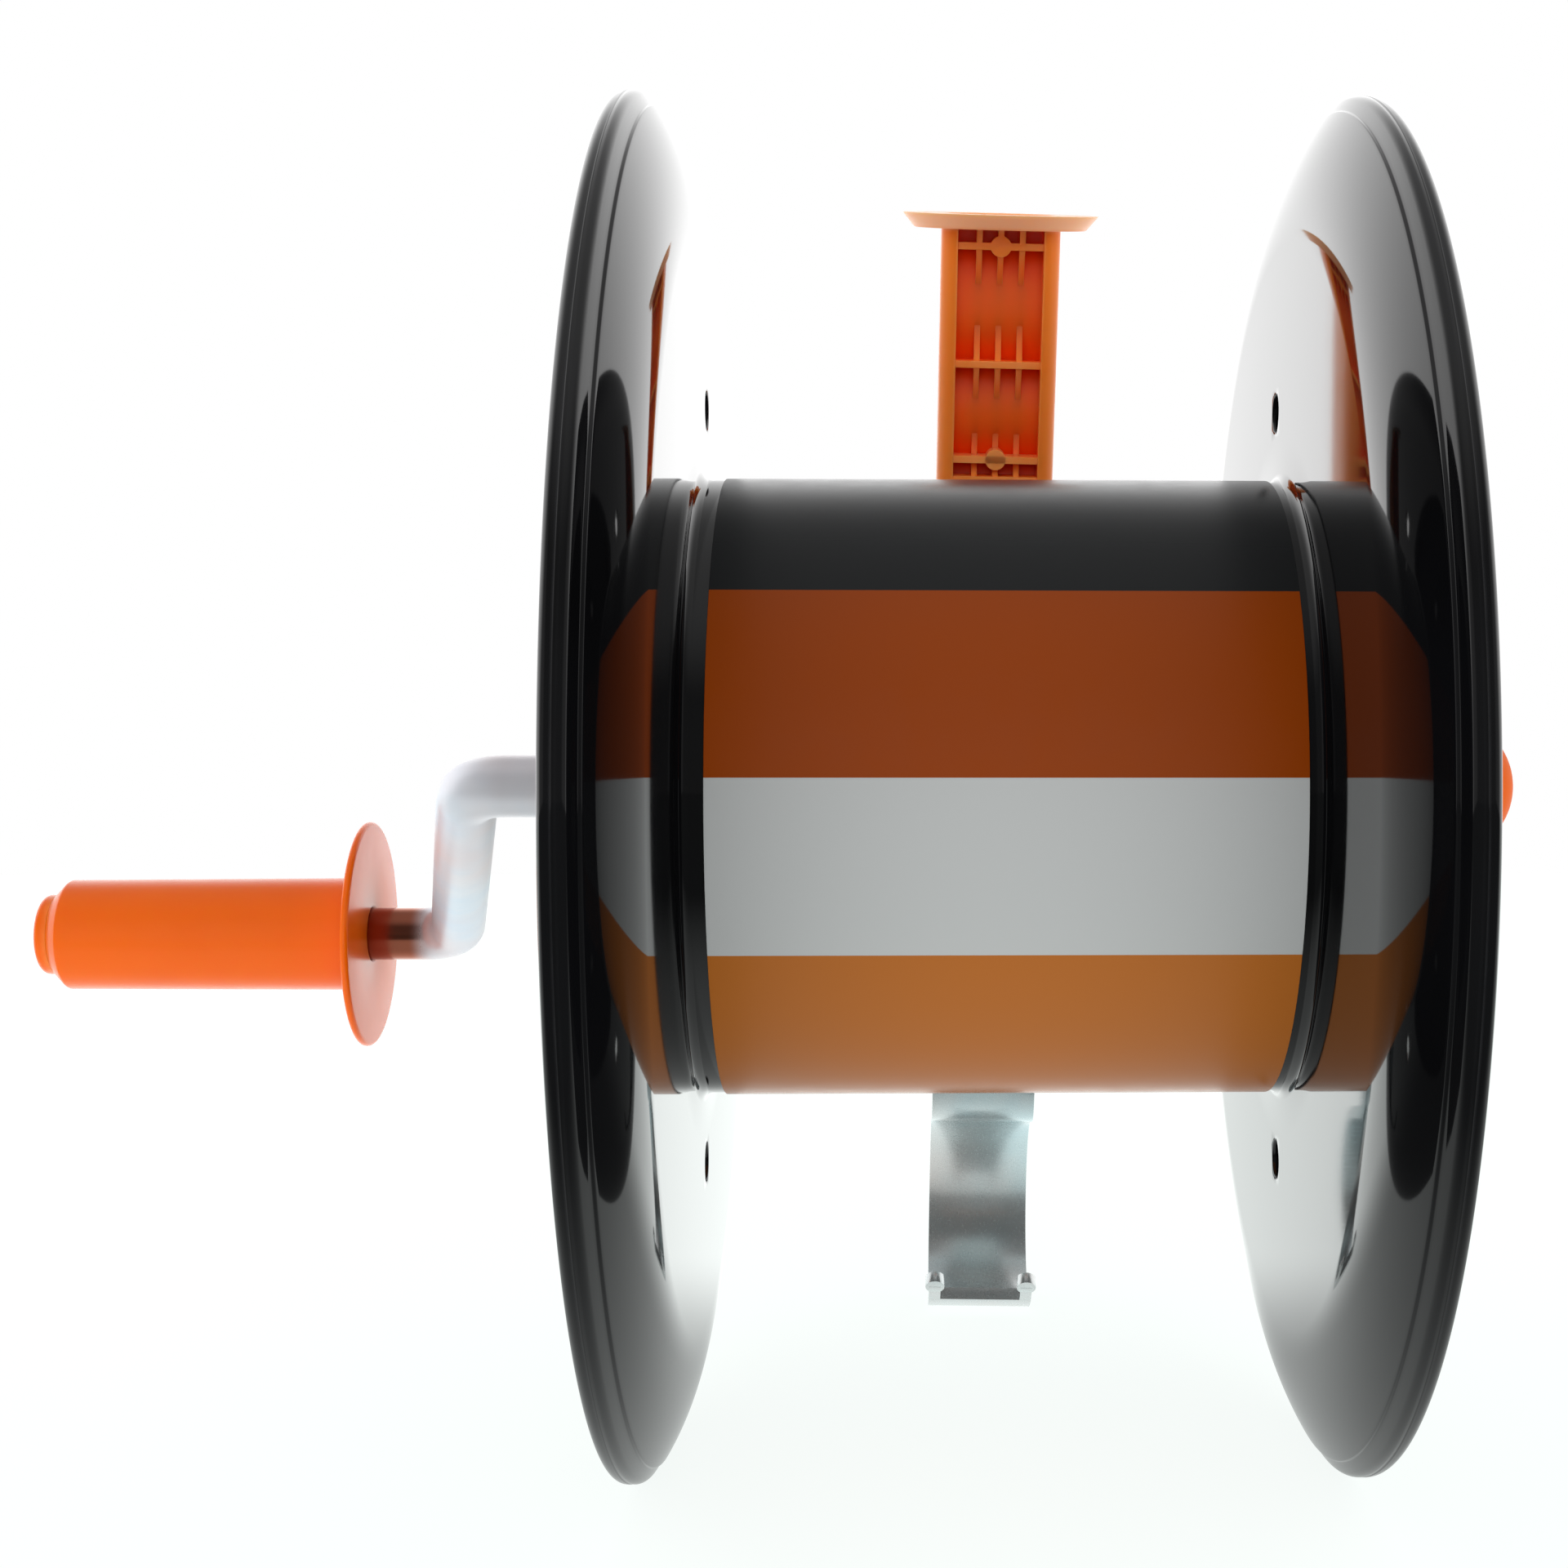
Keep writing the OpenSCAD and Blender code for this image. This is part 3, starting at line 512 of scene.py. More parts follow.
@dataclass(frozen=True)
class FloorPaint(Finish):
    """Lit white table: near white all over, with a soft shadow left under the reel."""

    colour: str
    glow: str
    seen_level: float
    lit_level: float
    front_levels: Point
    back_levels: Point
    front_span: Point = (-0.2, -0.05)
    back_span: Point = (0.05, 0.2)

    def shade(self, tree: Tree) -> Node:
        """Builds the floor; its mirror image dims towards the front.

        Args:
            tree: Node tree of the material.

        Returns:
            The shader node.
        """
        where = add_node(tree, "ShaderNodeTexCoord").outputs["Object"]
        depth = add_node(tree, "ShaderNodeSeparateXYZ", {0: where}).outputs["Y"]
        fades = ((self.front_span, self.front_levels), (self.back_span, self.back_levels))
        front, back = (
            add_node(tree, RANGE, on_range(depth, *ends), **SMOOTH) for ends in fades
        )
        path = add_node(tree, "ShaderNodeLightPath")
        seen = path.outputs["Is Camera Ray"]
        levels = (
            add_node(tree, MIX, {"Factor": seen, "A": self.lit_level, "B": self.seen_level}),
            add_node(tree, MATH, {0: front, 1: back}, operation="ADD"),
        )
        glow, image = (
            add_node(tree, "ShaderNodeEmission", {"Color": linear(self.glow), "Strength": level})
            for level in levels
        )
        paint = add_node(tree, "ShaderNodeBsdfDiffuse", {"Color": linear(self.colour)})
        table = add_node(tree, "ShaderNodeAddShader", {0: paint, 1: glow})
        mirror = direct_mirror(tree, path)
        return add_node(tree, "ShaderNodeMixShader", {0: mirror, 1: table, 2: image})


# Polished black moulding: near-mirror at a flat angle, so the white room shows in the flanges
BLACK = Moulding(
    "black_polished_plastic",
    colour="#070708",
    cloud="#0B0B0D",
    rubbed="#232325",
    roughness=0.05,
    ripple_mm=45.0,
    ripple_depth_mm=0.01,
)
# Orange moulding: saturated, a little light passes into it, softer highlights
ORANGE = Moulding(
    "orange_moulded_plastic",
    colour="#E96300",
    cloud="#E55F00",
    rubbed="#F68638",
    roughness=0.24,
    ripple_mm=22.0,
    ripple_depth_mm=0.015,
    soft=0.35,
    sheen=0.3,
)
# Spark-textured orange moulding: the same plastic, too dull to mirror the room at its edge
TEXTURED_ORANGE = Moulding(
    "textured_orange_plastic",
    colour="#DE5D00",
    cloud="#DA5900",
    rubbed="#EA7B30",
    roughness=0.55,
    ripple_mm=22.0,
    ripple_depth_mm=0.015,
    soft=0.2,
    sheen=0.1,
)
# Bright zinc plate: pale metal whose faint blue and pink clouds give it away
ZINC = ZincPlate(
    "bright_zinc_plate",
    colour="#C3D2D4",
    blue="#AEC6CC",
    pink="#CDC9C7",
    worn="#D6E0DF",
    roughness=0.26,
    haze=0.34,
)
# Barrel-plated rod: duller and whiter zinc from tumbling, rubbed through beside the grip, where
# a dark red-brown reflection of the orange guard is painted on
ROD_ZINC = ZincPlate(
    "tumbled_zinc_plate",
    colour="#DCE1E7",
    blue="#CBDAE8",
    pink="#DED0D1",
    worn="#E8E9EA",
    roughness=0.4,
    haze=0.55,
    rubbed_guard_reflection_x=(-0.131, -0.125),
)
# Printed film: satin, so that the colour bands stay plain under the room's light; the upper
# orange and the white band are painted darker as shade, the lower orange lighter as light from
# the floor
FILM = PrintedFilm(
    "printed_band_film",
    black="#1C1D1E",
    upper="#8D3A00",
    pale="#B4B5B5",
    lower="#AB6221",
    roughness=0.25,
    sheen=0.22,
)
# Natural nylon: warm white and dull, a pale ring between the bright bar and the rod
NYLON = Moulding(
    "natural_nylon",
    colour="#E3DFD2",
    cloud="#DAD5C6",
    rubbed="#F2EFE6",
    roughness=0.5,
    ripple_mm=12.0,
    ripple_depth_mm=0.02,
    soft=0.1,
)
# Studio floor: nearly lost in the white room, with just the reel's shadow left on it
FLOOR = FloorPaint(
    "white_studio_floor",
    colour="#6E7170",
    glow="#FAFFFD",
    seen_level=0.92,
    lit_level=1.2,
    front_levels=(0.08, 0.65),
    back_levels=(0.0, 0.9),
)


def arc(centre: Point, radius: float, start: float, end: float, steps: int = 12) -> list[Point]:
    """Points on an arc, in degrees from the axial direction.

    Args:
        centre: Axial place and radius of the arc's centre.
        radius: Radius of the arc.
        start: First angle.
        end: Last angle.
        steps: Number of chords.

    Returns:
        The points, both ends included.
    """
    turns = [math.radians(start + (end - start) * i / steps) for i in range(steps + 1)]
    return [
        (centre[0] + radius * math.cos(t), centre[1] + radius * math.sin(t)) for t in turns
    ]


def eased(points: list[Point], radius: float, limit: float = 40.0) -> list[Point]:
    """Rounds the corners of a closed section that turn more than a limit.

    Args:
        points: Corners of the section in order.
        radius: Rounding in the section's unit.
        limit: Smallest turn in degrees that is rounded.

    Returns:
        The points of the rounded section.
    """
    result: list[Point] = []
    for i, here in enumerate(points):
        corner = Vector(here)
        before = Vector(points[i - 1]) - corner
        after = Vector(points[(i + 1) % len(points)]) - corner
        turn = math.pi - before.angle(after)
        if math.degrees(turn) < limit:
            result.append(here)
            continue
        reach = CORNER_REACH * min(before.length, after.length)
        cut = min(radius * math.tan(turn / 2), reach)
        start = corner + before.normalized() * cut
        end = corner + after.normalized() * cut
        for share in CORNER_STEPS:
            bow = start.lerp(corner, share).lerp(corner.lerp(end, share), share)
            result.append((bow.x, bow.y))
    return result


def geometry_tree(name: str, inputs: dict[str, str]) -> tuple[Tree, Node]:
    """Starts a geometry tree with named inputs.

    Args:
        name: Name of the tree.
        inputs: Socket types by input name.

    Returns:
        The tree and its input node.
    """
    tree = bpy.data.node_groups.new(name, "GeometryNodeTree")
    sockets = {"Geometry": "NodeSocketGeometry", **inputs, "Material": "NodeSocketMaterial"}
    for label, kind in sockets.items():
        tree.interface.new_socket(label, in_out="INPUT", socket_type=kind)
    tree.interface.new_socket("Geometry", in_out="OUTPUT", socket_type="NodeSocketGeometry")
    return tree, add_node(tree, "NodeGroupInput")


def close_tree(tree: Tree, source: Node, shape: Node) -> Tree:
    """Ends a geometry tree with Realize Instances and Set Material.

    Args:
        tree: Geometry tree to end.
        source: Its input node.
        shape: Node with the geometry that the tree has made.

    Returns:
        The tree.
    """
    real = add_node(tree, "GeometryNodeRealizeInstances", {"Geometry": shape})
    painted = add_node(
        tree,
        "GeometryNodeSetMaterial",
        {"Geometry": real, "Material": source.outputs["Material"]},
    )
    add_node(tree, "NodeGroupOutput", {"Geometry": painted})
    return tree


def turning_tree() -> Tree:
    """Geometry tree that turns a section (axial place, radius) round the axle.

    Returns:
        The tree; a grid's rows take the section's points and its columns the angles.
    """
    tree, source = geometry_tree(
        "turned_section", {"Points": "NodeSocketInt", "Segments": "NodeSocketInt"}
    )
    points, segments = source.outputs["Points"], source.outputs["Segments"]
    columns = add_node(tree, MATH, {0: segments, 1: 1.0}, operation="ADD")
    grid = add_node(
        tree,
        "GeometryNodeMeshGrid",
        {"Size X": 1.0, "Size Y": 1.0, "Vertices X": points, "Vertices Y": columns},
    )
    place = add_node(tree, "GeometryNodeInputPosition")
    share = add_node(tree, "ShaderNodeSeparateXYZ", {0: place}).outputs
    last = add_node(tree, MATH, {0: points, 1: 1.0}, operation="SUBTRACT")
    along = add_node(tree, MATH, {0: share["X"], 1: 0.5}, operation="ADD")
    row = add_node(tree, MATH, {0: along, 1: last}, operation="MULTIPLY")
    index = add_node(tree, "FunctionNodeFloatToInt", {0: row})
    corner = add_node(
        tree,
        "GeometryNodeSampleIndex",
        {"Geometry": source.outputs["Geometry"], "Value": place, "Index": index},
        data_type="FLOAT_VECTOR",
    )
    section = add_node(tree, "ShaderNodeSeparateXYZ", {0: corner}).outputs
    turn = add_node(tree, MATH, {0: share["Y"], 1: math.tau}, operation="MULTIPLY")
    spot = {0: section["X"]}
    for axis, operation in ((1, "COSINE"), (2, "SINE")):
        wave = add_node(tree, MATH, {0: turn}, operation=operation)
        spot[axis] = add_node(tree, MATH, {0: wave, 1: section["Y"]}, operation="MULTIPLY")
    moved = add_node(
        tree,
        "GeometryNodeSetPosition",
        {"Geometry": grid, "Position": add_node(tree, "ShaderNodeCombineXYZ", spot)},
    )
    shut = add_node(
        tree, "GeometryNodeMergeByDistance", {"Geometry": moved, "Distance": WELD * MM}
    )
    return close_tree(tree, source, shut)


def ring_tree() -> Tree:
    """Geometry tree that repeats a shape at even angles round the axle.

    Returns:
        The tree.
    """
    tree, source = geometry_tree(
        "ring_of_copies", {"Copies": "NodeSocketInt", "First Angle": "NodeSocketFloat"}
    )
    copies, first = source.outputs["Copies"], source.outputs["First Angle"]
    points = add_node(tree, "GeometryNodePoints", {"Count": copies})
    step = add_node(tree, MATH, {0: math.tau, 1: copies}, operation="DIVIDE")
    index = add_node(tree, "GeometryNodeInputIndex")
    angle = add_node(tree, MATH, {0: index, 1: step, 2: first}, operation="MULTIPLY_ADD")
    euler = add_node(tree, "ShaderNodeCombineXYZ", {0: angle})
    turn = add_node(tree, "FunctionNodeEulerToRotation", {0: euler})
    ring = add_node(
        tree,
        "GeometryNodeInstanceOnPoints",
        {"Points": points, "Instance": source.outputs["Geometry"], "Rotation": turn},
    )
    return close_tree(tree, source, ring)


def rod_tree() -> Tree:
    """Geometry tree that sweeps a round bar along a path.

    Returns:
        The tree.
    """
    tree, source = geometry_tree(
        "rod_on_path", {"Radius": "NodeSocketFloat", "Sides": "NodeSocketInt"}
    )
    path = add_node(tree, "GeometryNodeMeshToCurve", {"Mesh": source.outputs["Geometry"]})
    ring = add_node(
        tree,
        "GeometryNodeCurvePrimitiveCircle",
        {"Resolution": source.outputs["Sides"], "Radius": source.outputs["Radius"]},
    )
    bar = add_node(
        tree,
        "GeometryNodeCurveToMesh",
        {"Curve": path, "Profile Curve": ring, "Fill Caps": True},
    )
    return close_tree(tree, source, bar)


def new_piece(
    name: str, verts: list, edges: list | None = None, faces: list | None = None
) -> Piece:
    """Makes a mesh object at the origin.

    Args:
        name: Name of the object.
        verts: Points in metres.
        edges: Pairs of point numbers.
        faces: Groups of point numbers.

    Returns:
        The object.
    """
    mesh = bpy.data.meshes.new(name)
    mesh.from_pydata(verts, edges or [], faces or [])
    piece = bpy.data.objects.new(name, mesh)
    bpy.context.scene.collection.objects.link(piece)
    return piece


def piece_from(shape: bmesh.types.BMesh, name: str) -> Piece:
    """Turns an open mesh into a new piece.

    Args:
        shape: Open mesh, which is freed.
        name: Name of the piece.

    Returns:
        The piece.
    """
    piece = new_piece(name, [])
    shape.to_mesh(piece.data)
    shape.free()
    return piece


@contextmanager
def editing(piece: Piece) -> Iterator[bmesh.types.BMesh]:
    """Opens a piece's mesh and writes it back when the work on it is done.

    Args:
        piece: Object whose mesh is worked on.

    Yields:
        The open mesh.
    """
    shape = bmesh.new()
    shape.from_mesh(piece.data)
    yield shape
    shape.to_mesh(piece.data)
    shape.free()


def settle(piece: Piece) -> Piece:
    """Turns a piece's live modifiers into its plain mesh.

    Args:
        piece: Object with modifiers.

    Returns:
        The piece.
    """
    bpy.context.view_layer.update()
    graph = bpy.context.evaluated_depsgraph_get()
    mesh = bpy.data.meshes.new_from_object(piece.evaluated_get(graph))
    old = piece.data
    piece.modifiers.clear()
    piece.data = mesh
    bpy.data.meshes.remove(old)
    mesh.name = piece.name
    return piece


def run_tree(piece: Piece, tree: Tree, values: dict[str, object]) -> Piece:
    """Runs a geometry tree on a piece and keeps the plain mesh.

    Args:
        piece: Object whose mesh is the tree's input.
        tree: Geometry tree to run.
        values: Input values by their names.

    Returns:
        The piece.
    """
    modifier = piece.modifiers.new(tree.name, "NODES")
    modifier.node_group = tree
    for item in tree.interface.items_tree:
        if item.in_out == "INPUT" and item.name in values:
            modifier[item.identifier] = values[item.name]
    return settle(piece)


def ease_edges(piece: Piece, width_mm: float) -> Piece:
    """Rounds the edges of a piece.

    Args:
        piece: Object to ease.
        width_mm: Width of the eased edges.

    Returns:
        The piece.
    """
    bevel = piece.modifiers.new("eased_edges", "BEVEL")
    bevel.width = width_mm * MM
    bevel.segments = EASED_SEGMENTS
    bevel.limit_method = "ANGLE"
    bevel.angle_limit = math.radians(EASED_BEND)
    return settle(piece)


def cut(piece: Piece, cutter: Piece) -> None:
    """Cuts one object out of another.

    Args:
        piece: Object that stays.
        cutter: Object that is cut out and dropped.
    """
    boolean = piece.modifiers.new("cut", "BOOLEAN")
    boolean.operation = "DIFFERENCE"
    boolean.solver = "EXACT"
    boolean.object = cutter
    settle(piece)
    bpy.data.objects.remove(cutter)


def join(name: str, parts: list[Piece]) -> Piece:
    """Joins the meshes of several objects into one new piece.

    Args:
        name: Name of the piece.
        parts: Objects to join, which are dropped.

    Returns:
        The piece.
    """
    shape = bmesh.new()
    for part in parts:
        shape.from_mesh(part.data)
        bpy.data.objects.remove(part)
    return piece_from(shape, name)


def add_bar(
    shape: bmesh.types.BMesh, radius_mm: float, length_mm: float, sides: int, place: Matrix
) -> None:
    """Adds a round bar to an open mesh.

    Args:
        shape: Open mesh.
        radius_mm: Radius of the bar.
        length_mm: Length of the bar, half of it on each side of its place.
        sides: Number of its sides.
        place: Place of the bar, which runs along Z.
    """
    bmesh.ops.create_cone(
        shape,
        cap_ends=True,
        segments=sides,
        radius1=radius_mm * MM,
        radius2=radius_mm * MM,
        depth=length_mm * MM,
        matrix=place,
    )


def finish_mesh(piece: Piece, finish: Finish) -> None:
    """Smooths a piece's mesh, marks its outer edges and sets its finish.

    Args:
        piece: Object to finish.
        finish: Its finish.
    """
    start, end = EDGE_BENDS
    with editing(piece) as shape:
        bmesh.ops.recalc_face_normals(shape, faces=shape.faces)
        worn = [0.0] * len(shape.verts)
        shape.verts.index_update()
        for edge in shape.edges:
            bend = math.degrees(edge.calc_face_angle_signed(0.0))
            share = min(max((bend - start) / (end - start), 0.0), 1.0)
            for vert in edge.verts:
                worn[vert.index] = max(worn[vert.index], share)
    mesh = piece.data
    mesh.attributes.new(EDGE_MARK, "FLOAT", "POINT").data.foreach_set("value", worn)
    mesh.shade_smooth()
    mesh.set_sharp_from_angle(angle=math.radians(SHARP_BEND))
    mesh.materials.clear()
    mesh.materials.append(finish.build())


@dataclass
class Workshop:
    """Makes pieces on the loaded frame and hands them to their bodies."""

    nodes: dict[str, Piece]
    turning: Tree = field(init=False)
    ringing: Tree = field(init=False)
    bending: Tree = field(init=False)

    def __post_init__(self) -> None:
        """Prepares the geometry trees that the pieces share."""
        self.turning = turning_tree()
        self.ringing = ring_tree()
        self.bending = rod_tree()

    def turned(
        self,
        name: str,
        finish: Finish,
        section: list[Point],
        segments: int,
        closed: bool = True,
    ) -> Piece:
        """Turns a section in mm round the axle.

        Args:
            name: Name of the piece.
            finish: Its finish.
            section: Points as axial place and radius.
            segments: Steps round the axle.
            closed: Whether the last point joins the first.

        Returns:
            The turned piece.
        """
        points = section + section[:1] if closed else section
        verts = [(x * MM, r * MM, 0.0) for x, r in points]
        values = {"Points": len(verts), "Segments": segments, "Material": finish.build()}
        return run_tree(new_piece(name, verts), self.turning, values)

    def ring(self, piece: Piece, finish: Finish, copies: int, first: float) -> Piece:
        """Repeats a piece at even angles round the axle.

        Args:
            piece: Object to repeat.
            finish: Its finish.
            copies: Number of copies.
            first: Angle of the first copy in degrees.

        Returns:
            The piece with all its copies.
        """
        values = {
            "Copies": copies,
            "First Angle": math.radians(first),
            "Material": finish.build(),
        }
        return run_tree(piece, self.ringing, values)

    def refined(self, name: str, node: str, edge_mm: float) -> Piece:
        """Copies a CAD node with its faces joined and its edges eased.

        Args:
            name: Name of the piece.
            node: CAD node to copy.
            edge_mm: Width of the eased edges.

        Returns:
            The copy.
        """
        source = self.nodes[node].data
        faces = [list(face.vertices) for face in source.polygons]
        piece = new_piece(name, [vert.co.copy() for vert in source.vertices], None, faces)
        with editing(piece) as shape:
            bmesh.ops.remove_doubles(shape, verts=shape.verts, dist=WELD * MM)
            bmesh.ops.dissolve_limit(
                shape,
                angle_limit=math.radians(FLAT_BEND),
                verts=shape.verts,
                edges=shape.edges,
            )
            bmesh.ops.recalc_face_normals(shape, faces=shape.faces)
        return ease_edges(piece, edge_mm)

    def install(
        self, piece: Piece, body: Body, slot: Slot, finish: Finish, *nodes: str
    ) -> None:
        """Finishes a piece and puts it on its body in place of its CAD nodes.

        Args:
            piece: Object to hand over.
            body: Body that it rides on.
            slot: Material slot of the record; not used.
            finish: Its finish.
            *nodes: CAD nodes that it stands for.
        """
        finish_mesh(piece, finish)
        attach(piece, body.value)
        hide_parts(*nodes)
        LOG.info("%s on %s: %d faces", piece.name, body.value, len(piece.data.polygons))


@dataclass
class Spool:
    """The moulded spool: two dished, ribbed flanges on a banded drum, clamped by bolts."""

    shop: Workshop
    segments: int = 256
    web_x: float = 55.5
    web_t: float = 3.0
    flat_r: float = 104.0
    flare_r: float = 46.09
    flare_steps: int = 40
    rim_r: float = 130.0
    rim_h: float = 8.0
    rim_x: float = 62.0
    rim_t: float = 6.0
    rim_edge_r: float = 1.9
    rim_edge_steps: int = 10
    parting_depth: float = 0.18
    step_r: float = 127.2
    step_depth: float = 0.5
    bore_r: float = 6.05
    hub_r: float = 20.0
    hub_end: float = 70.1
    pad_r: float = 34.0
    pad_h: float = 2.5
    spigot_r: float = 55.95
    spigot_t: float = 3.0
    spigot_l: float = 1.0
    rib_r: float = 78.95
    rib_t: float = 2.2
    rib_top: float = 66.0
    rib_sunk: float = 0.5
    rib_count: int = 12
    anchor_r: float = 73.0
    anchor_d: float = 7.5
    anchor_sides: int = 48
    anchor_edge: float = 0.6
    anchor_edge_steps: int = 4
    cutter_l: float = 20.0
    mouth_bend: float = 60.0
    mouth_slack: float = 0.02
    drum_r: float = 59.0
    drum_wall: float = 3.0
    drum_flare_r: float = 2.0
    label_x: Point = (-50.9, 52.3)
    label_gap: float = 0.05
    label_t: float = 0.3
    label_edge: float = 0.12
    slot_w: float = 4.1
    slot_h: float = 6.0
    edge: float = 0.35
    edge_bend: float = 50.0
    hardware_edge: float = 0.3

    def flare(self, r: float, back: float = 0.0) -> float:
        """Axial place of the flange's web at a radius.

        Args:
            r: Radius from the axle.
            back: Depth into the web.

        Returns:
            The axial place.
        """
        reach = max(r - self.flat_r, 0.0)
        radius = self.flare_r - back
        return self.web_x + self.flare_r - math.sqrt(radius**2 - reach**2)

    def radii(self, first: float, last: float) -> list[float]:
        """Even steps of radius along the flare, both ends included."""
        steps = self.flare_steps
        return [first + (last - first) * i / steps for i in range(steps + 1)]

    def hub_line(self) -> list[Point]:
        """Inner end of the hub and the spigot, from the bore outwards.

        Returns:
            The points as axial place and radius.
        """
        spigot_end = self.web_x - self.spigot_l
        spigot_in = self.spigot_r - self.spigot_t
        return [
            (spigot_end, self.bore_r),
            (spigot_end, self.hub_r),
            (self.web_x, self.hub_r),
            (self.web_x, spigot_in),
            (spigot_end, spigot_in),
            (spigot_end, self.spigot_r),
            (self.web_x, self.spigot_r),
        ]

    def face_line(self, end_r: float) -> list[Point]:
        """Winding face: flat past the anchor holes, then flared, with the rim's step.

        Args:
            end_r: Radius where the rim's edge takes over.

        Returns:
            The points as axial place and radius.
        """
        clear = self.anchor_d / 2 + 2 * self.anchor_edge
        radii = self.radii(self.flat_r, end_r)
        below = [r for r in radii if r < self.step_r - self.edge] + [self.step_r]
        above = [self.step_r] + [r for r in radii if r > self.step_r + self.edge]
        return [
            (self.web_x, self.anchor_r - clear),
            (self.web_x, self.anchor_r + clear),
            *((self.flare(r), r) for r in below),
            *((self.flare(r) + self.step_depth, r) for r in above),
        ]

    def back_line(self) -> list[Point]:
        """Back of the web with the ring rib, the pad and the hub, from the rim inwards.

        Returns:
            The points as axial place and radius.
        """
        clear = self.anchor_d / 2 + 2 * self.anchor_edge
        ring_in = self.rib_r - self.rib_t / 2
        ring_out = self.rib_r + self.rib_t / 2
        web_out = self.web_x + self.web_t
        pad_out = web_out + self.pad_h
        radii = self.radii(self.rim_r - self.rim_h, ring_out)
        return [
            *((self.flare(r, self.web_t), r) for r in radii),
            (self.rib_top, ring_out),
            (self.rib_top, ring_in),
            (web_out, ring_in),
            (web_out, self.anchor_r - clear),
            (web_out, self.pad_r),
            (pad_out, self.pad_r),
            (pad_out, self.hub_r),
            (self.hub_end, self.hub_r),
            (self.hub_end, self.bore_r),
        ]

    def flange_section(self) -> list[Point]:
        """Section of the right flange; the rim's inner edge leaves the flare on a tangent.

        Returns:
            The closed section from the bore outwards and back.
        """
        round_r, steps = self.rim_edge_r, self.rim_edge_steps
        top_r = self.rim_r - round_r
        low_r = self.rim_r - self.rim_h + round_r
        out_x = self.rim_x + self.rim_t - round_r
        swing = self.flare_r - round_r
        lean = math.asin((top_r - self.flat_r) / swing)
        in_x = self.web_x + self.flare_r - swing * math.cos(lean) + self.step_depth
        parting_x = (in_x + out_x) / 2
        rim = [
            *arc((in_x, top_r), round_r, 180 - math.degrees(lean), 90, steps)[1:],
            (parting_x, self.rim_r - self.parting_depth),
            (parting_x + self.parting_depth, self.rim_r),
            *arc((out_x, top_r), round_r, 90, 0, steps),
            *arc((out_x, low_r), round_r, 0, -90, steps),
        ]
        face = self.face_line(self.flat_r + self.flare_r * math.sin(lean))
        section = self.hub_line() + face + rim + self.back_line()
        return eased(section, self.edge, self.edge_bend)

    def rib(self) -> Piece:
        """One radial rib of the right flange, standing along +Y.

        Returns:
            The rib with eased edges.
        """
        end_r = self.rim_r - self.rim_h + self.rib_sunk
        foot_x = self.web_x + self.rib_sunk
        outline = [
            (foot_x, self.rib_r),
            (foot_x, self.flat_r),
            (self.flare(end_r) + self.rib_sunk, end_r),
            (self.rib_top, end_r),
            (self.rib_top, self.rib_r),
        ]
        half = self.rib_t / 2 * MM
        count = len(outline)
        verts = [(x * MM, r * MM, side) for side in (-half, half) for x, r in outline]
        faces = [tuple(reversed(range(count))), tuple(range(count, 2 * count))]
        for i in range(count):
            ahead = (i + 1) % count
            faces.append((i, ahead, count + ahead, count + i))
        return ease_edges(new_piece("rib", verts, None, faces), self.edge)

    def anchor_cutter(self) -> Piece:
        """Round bars where the wire's anchor holes go through the web.

        Returns:
            The cutter.
        """
        shape = bmesh.new()
        for side in (-1, 1):
            spot = Matrix.Translation((self.web_x * MM, 0, side * self.anchor_r * MM))
            place = spot @ Matrix.Rotation(math.pi / 2, 4, "Y")
            add_bar(shape, self.anchor_d / 2, self.cutter_l, self.anchor_sides, place)
        return piece_from(shape, "anchor_cutter")

    def on_anchor_wall(self, vert: bmesh.types.BMVert) -> bool:
        """Tells whether a point lies on the wall of an anchor hole."""
        span = math.hypot(vert.co.y, abs(vert.co.z) - self.anchor_r * MM)
        return abs(span - self.anchor_d / 2 * MM) < self.mouth_slack * MM

    def ease_anchors(self, piece: Piece) -> None:
        """Rounds the mouths of the anchor holes.

        Args:
            piece: Flange with its anchor holes cut.
        """
        sharp = math.radians(self.mouth_bend)
        with editing(piece) as shape:
            mouths = [
                edge
                for edge in shape.edges
                if all(self.on_anchor_wall(vert) for vert in edge.verts)
                and edge.calc_face_angle(0.0) > sharp
            ]
            bmesh.ops.bevel(
                shape,
                geom=mouths,
                offset=self.anchor_edge * MM,
                segments=self.anchor_edge_steps,
                profile=0.5,
                affect="EDGES",
            )

    def slot_cutter(self) -> Piece:
        """Bar where the drive pin drops into the hub's end.

        Returns:
            The cutter.
        """
        shape = bmesh.new()
        size = (2 * self.slot_h * MM, 3 * self.hub_r * MM, self.slot_w * MM)
        bmesh.ops.create_cube(shape, size=1.0, matrix=Matrix.Diagonal((*size, 1)))
        turn = Matrix.Rotation(-math.radians(CRANK_REST), 4, "X")
        place = Matrix.Translation((self.hub_end * MM, 0, 0))
        bmesh.ops.transform(shape, matrix=place @ turn, verts=shape.verts)
        return piece_from(shape, "slot_cutter")

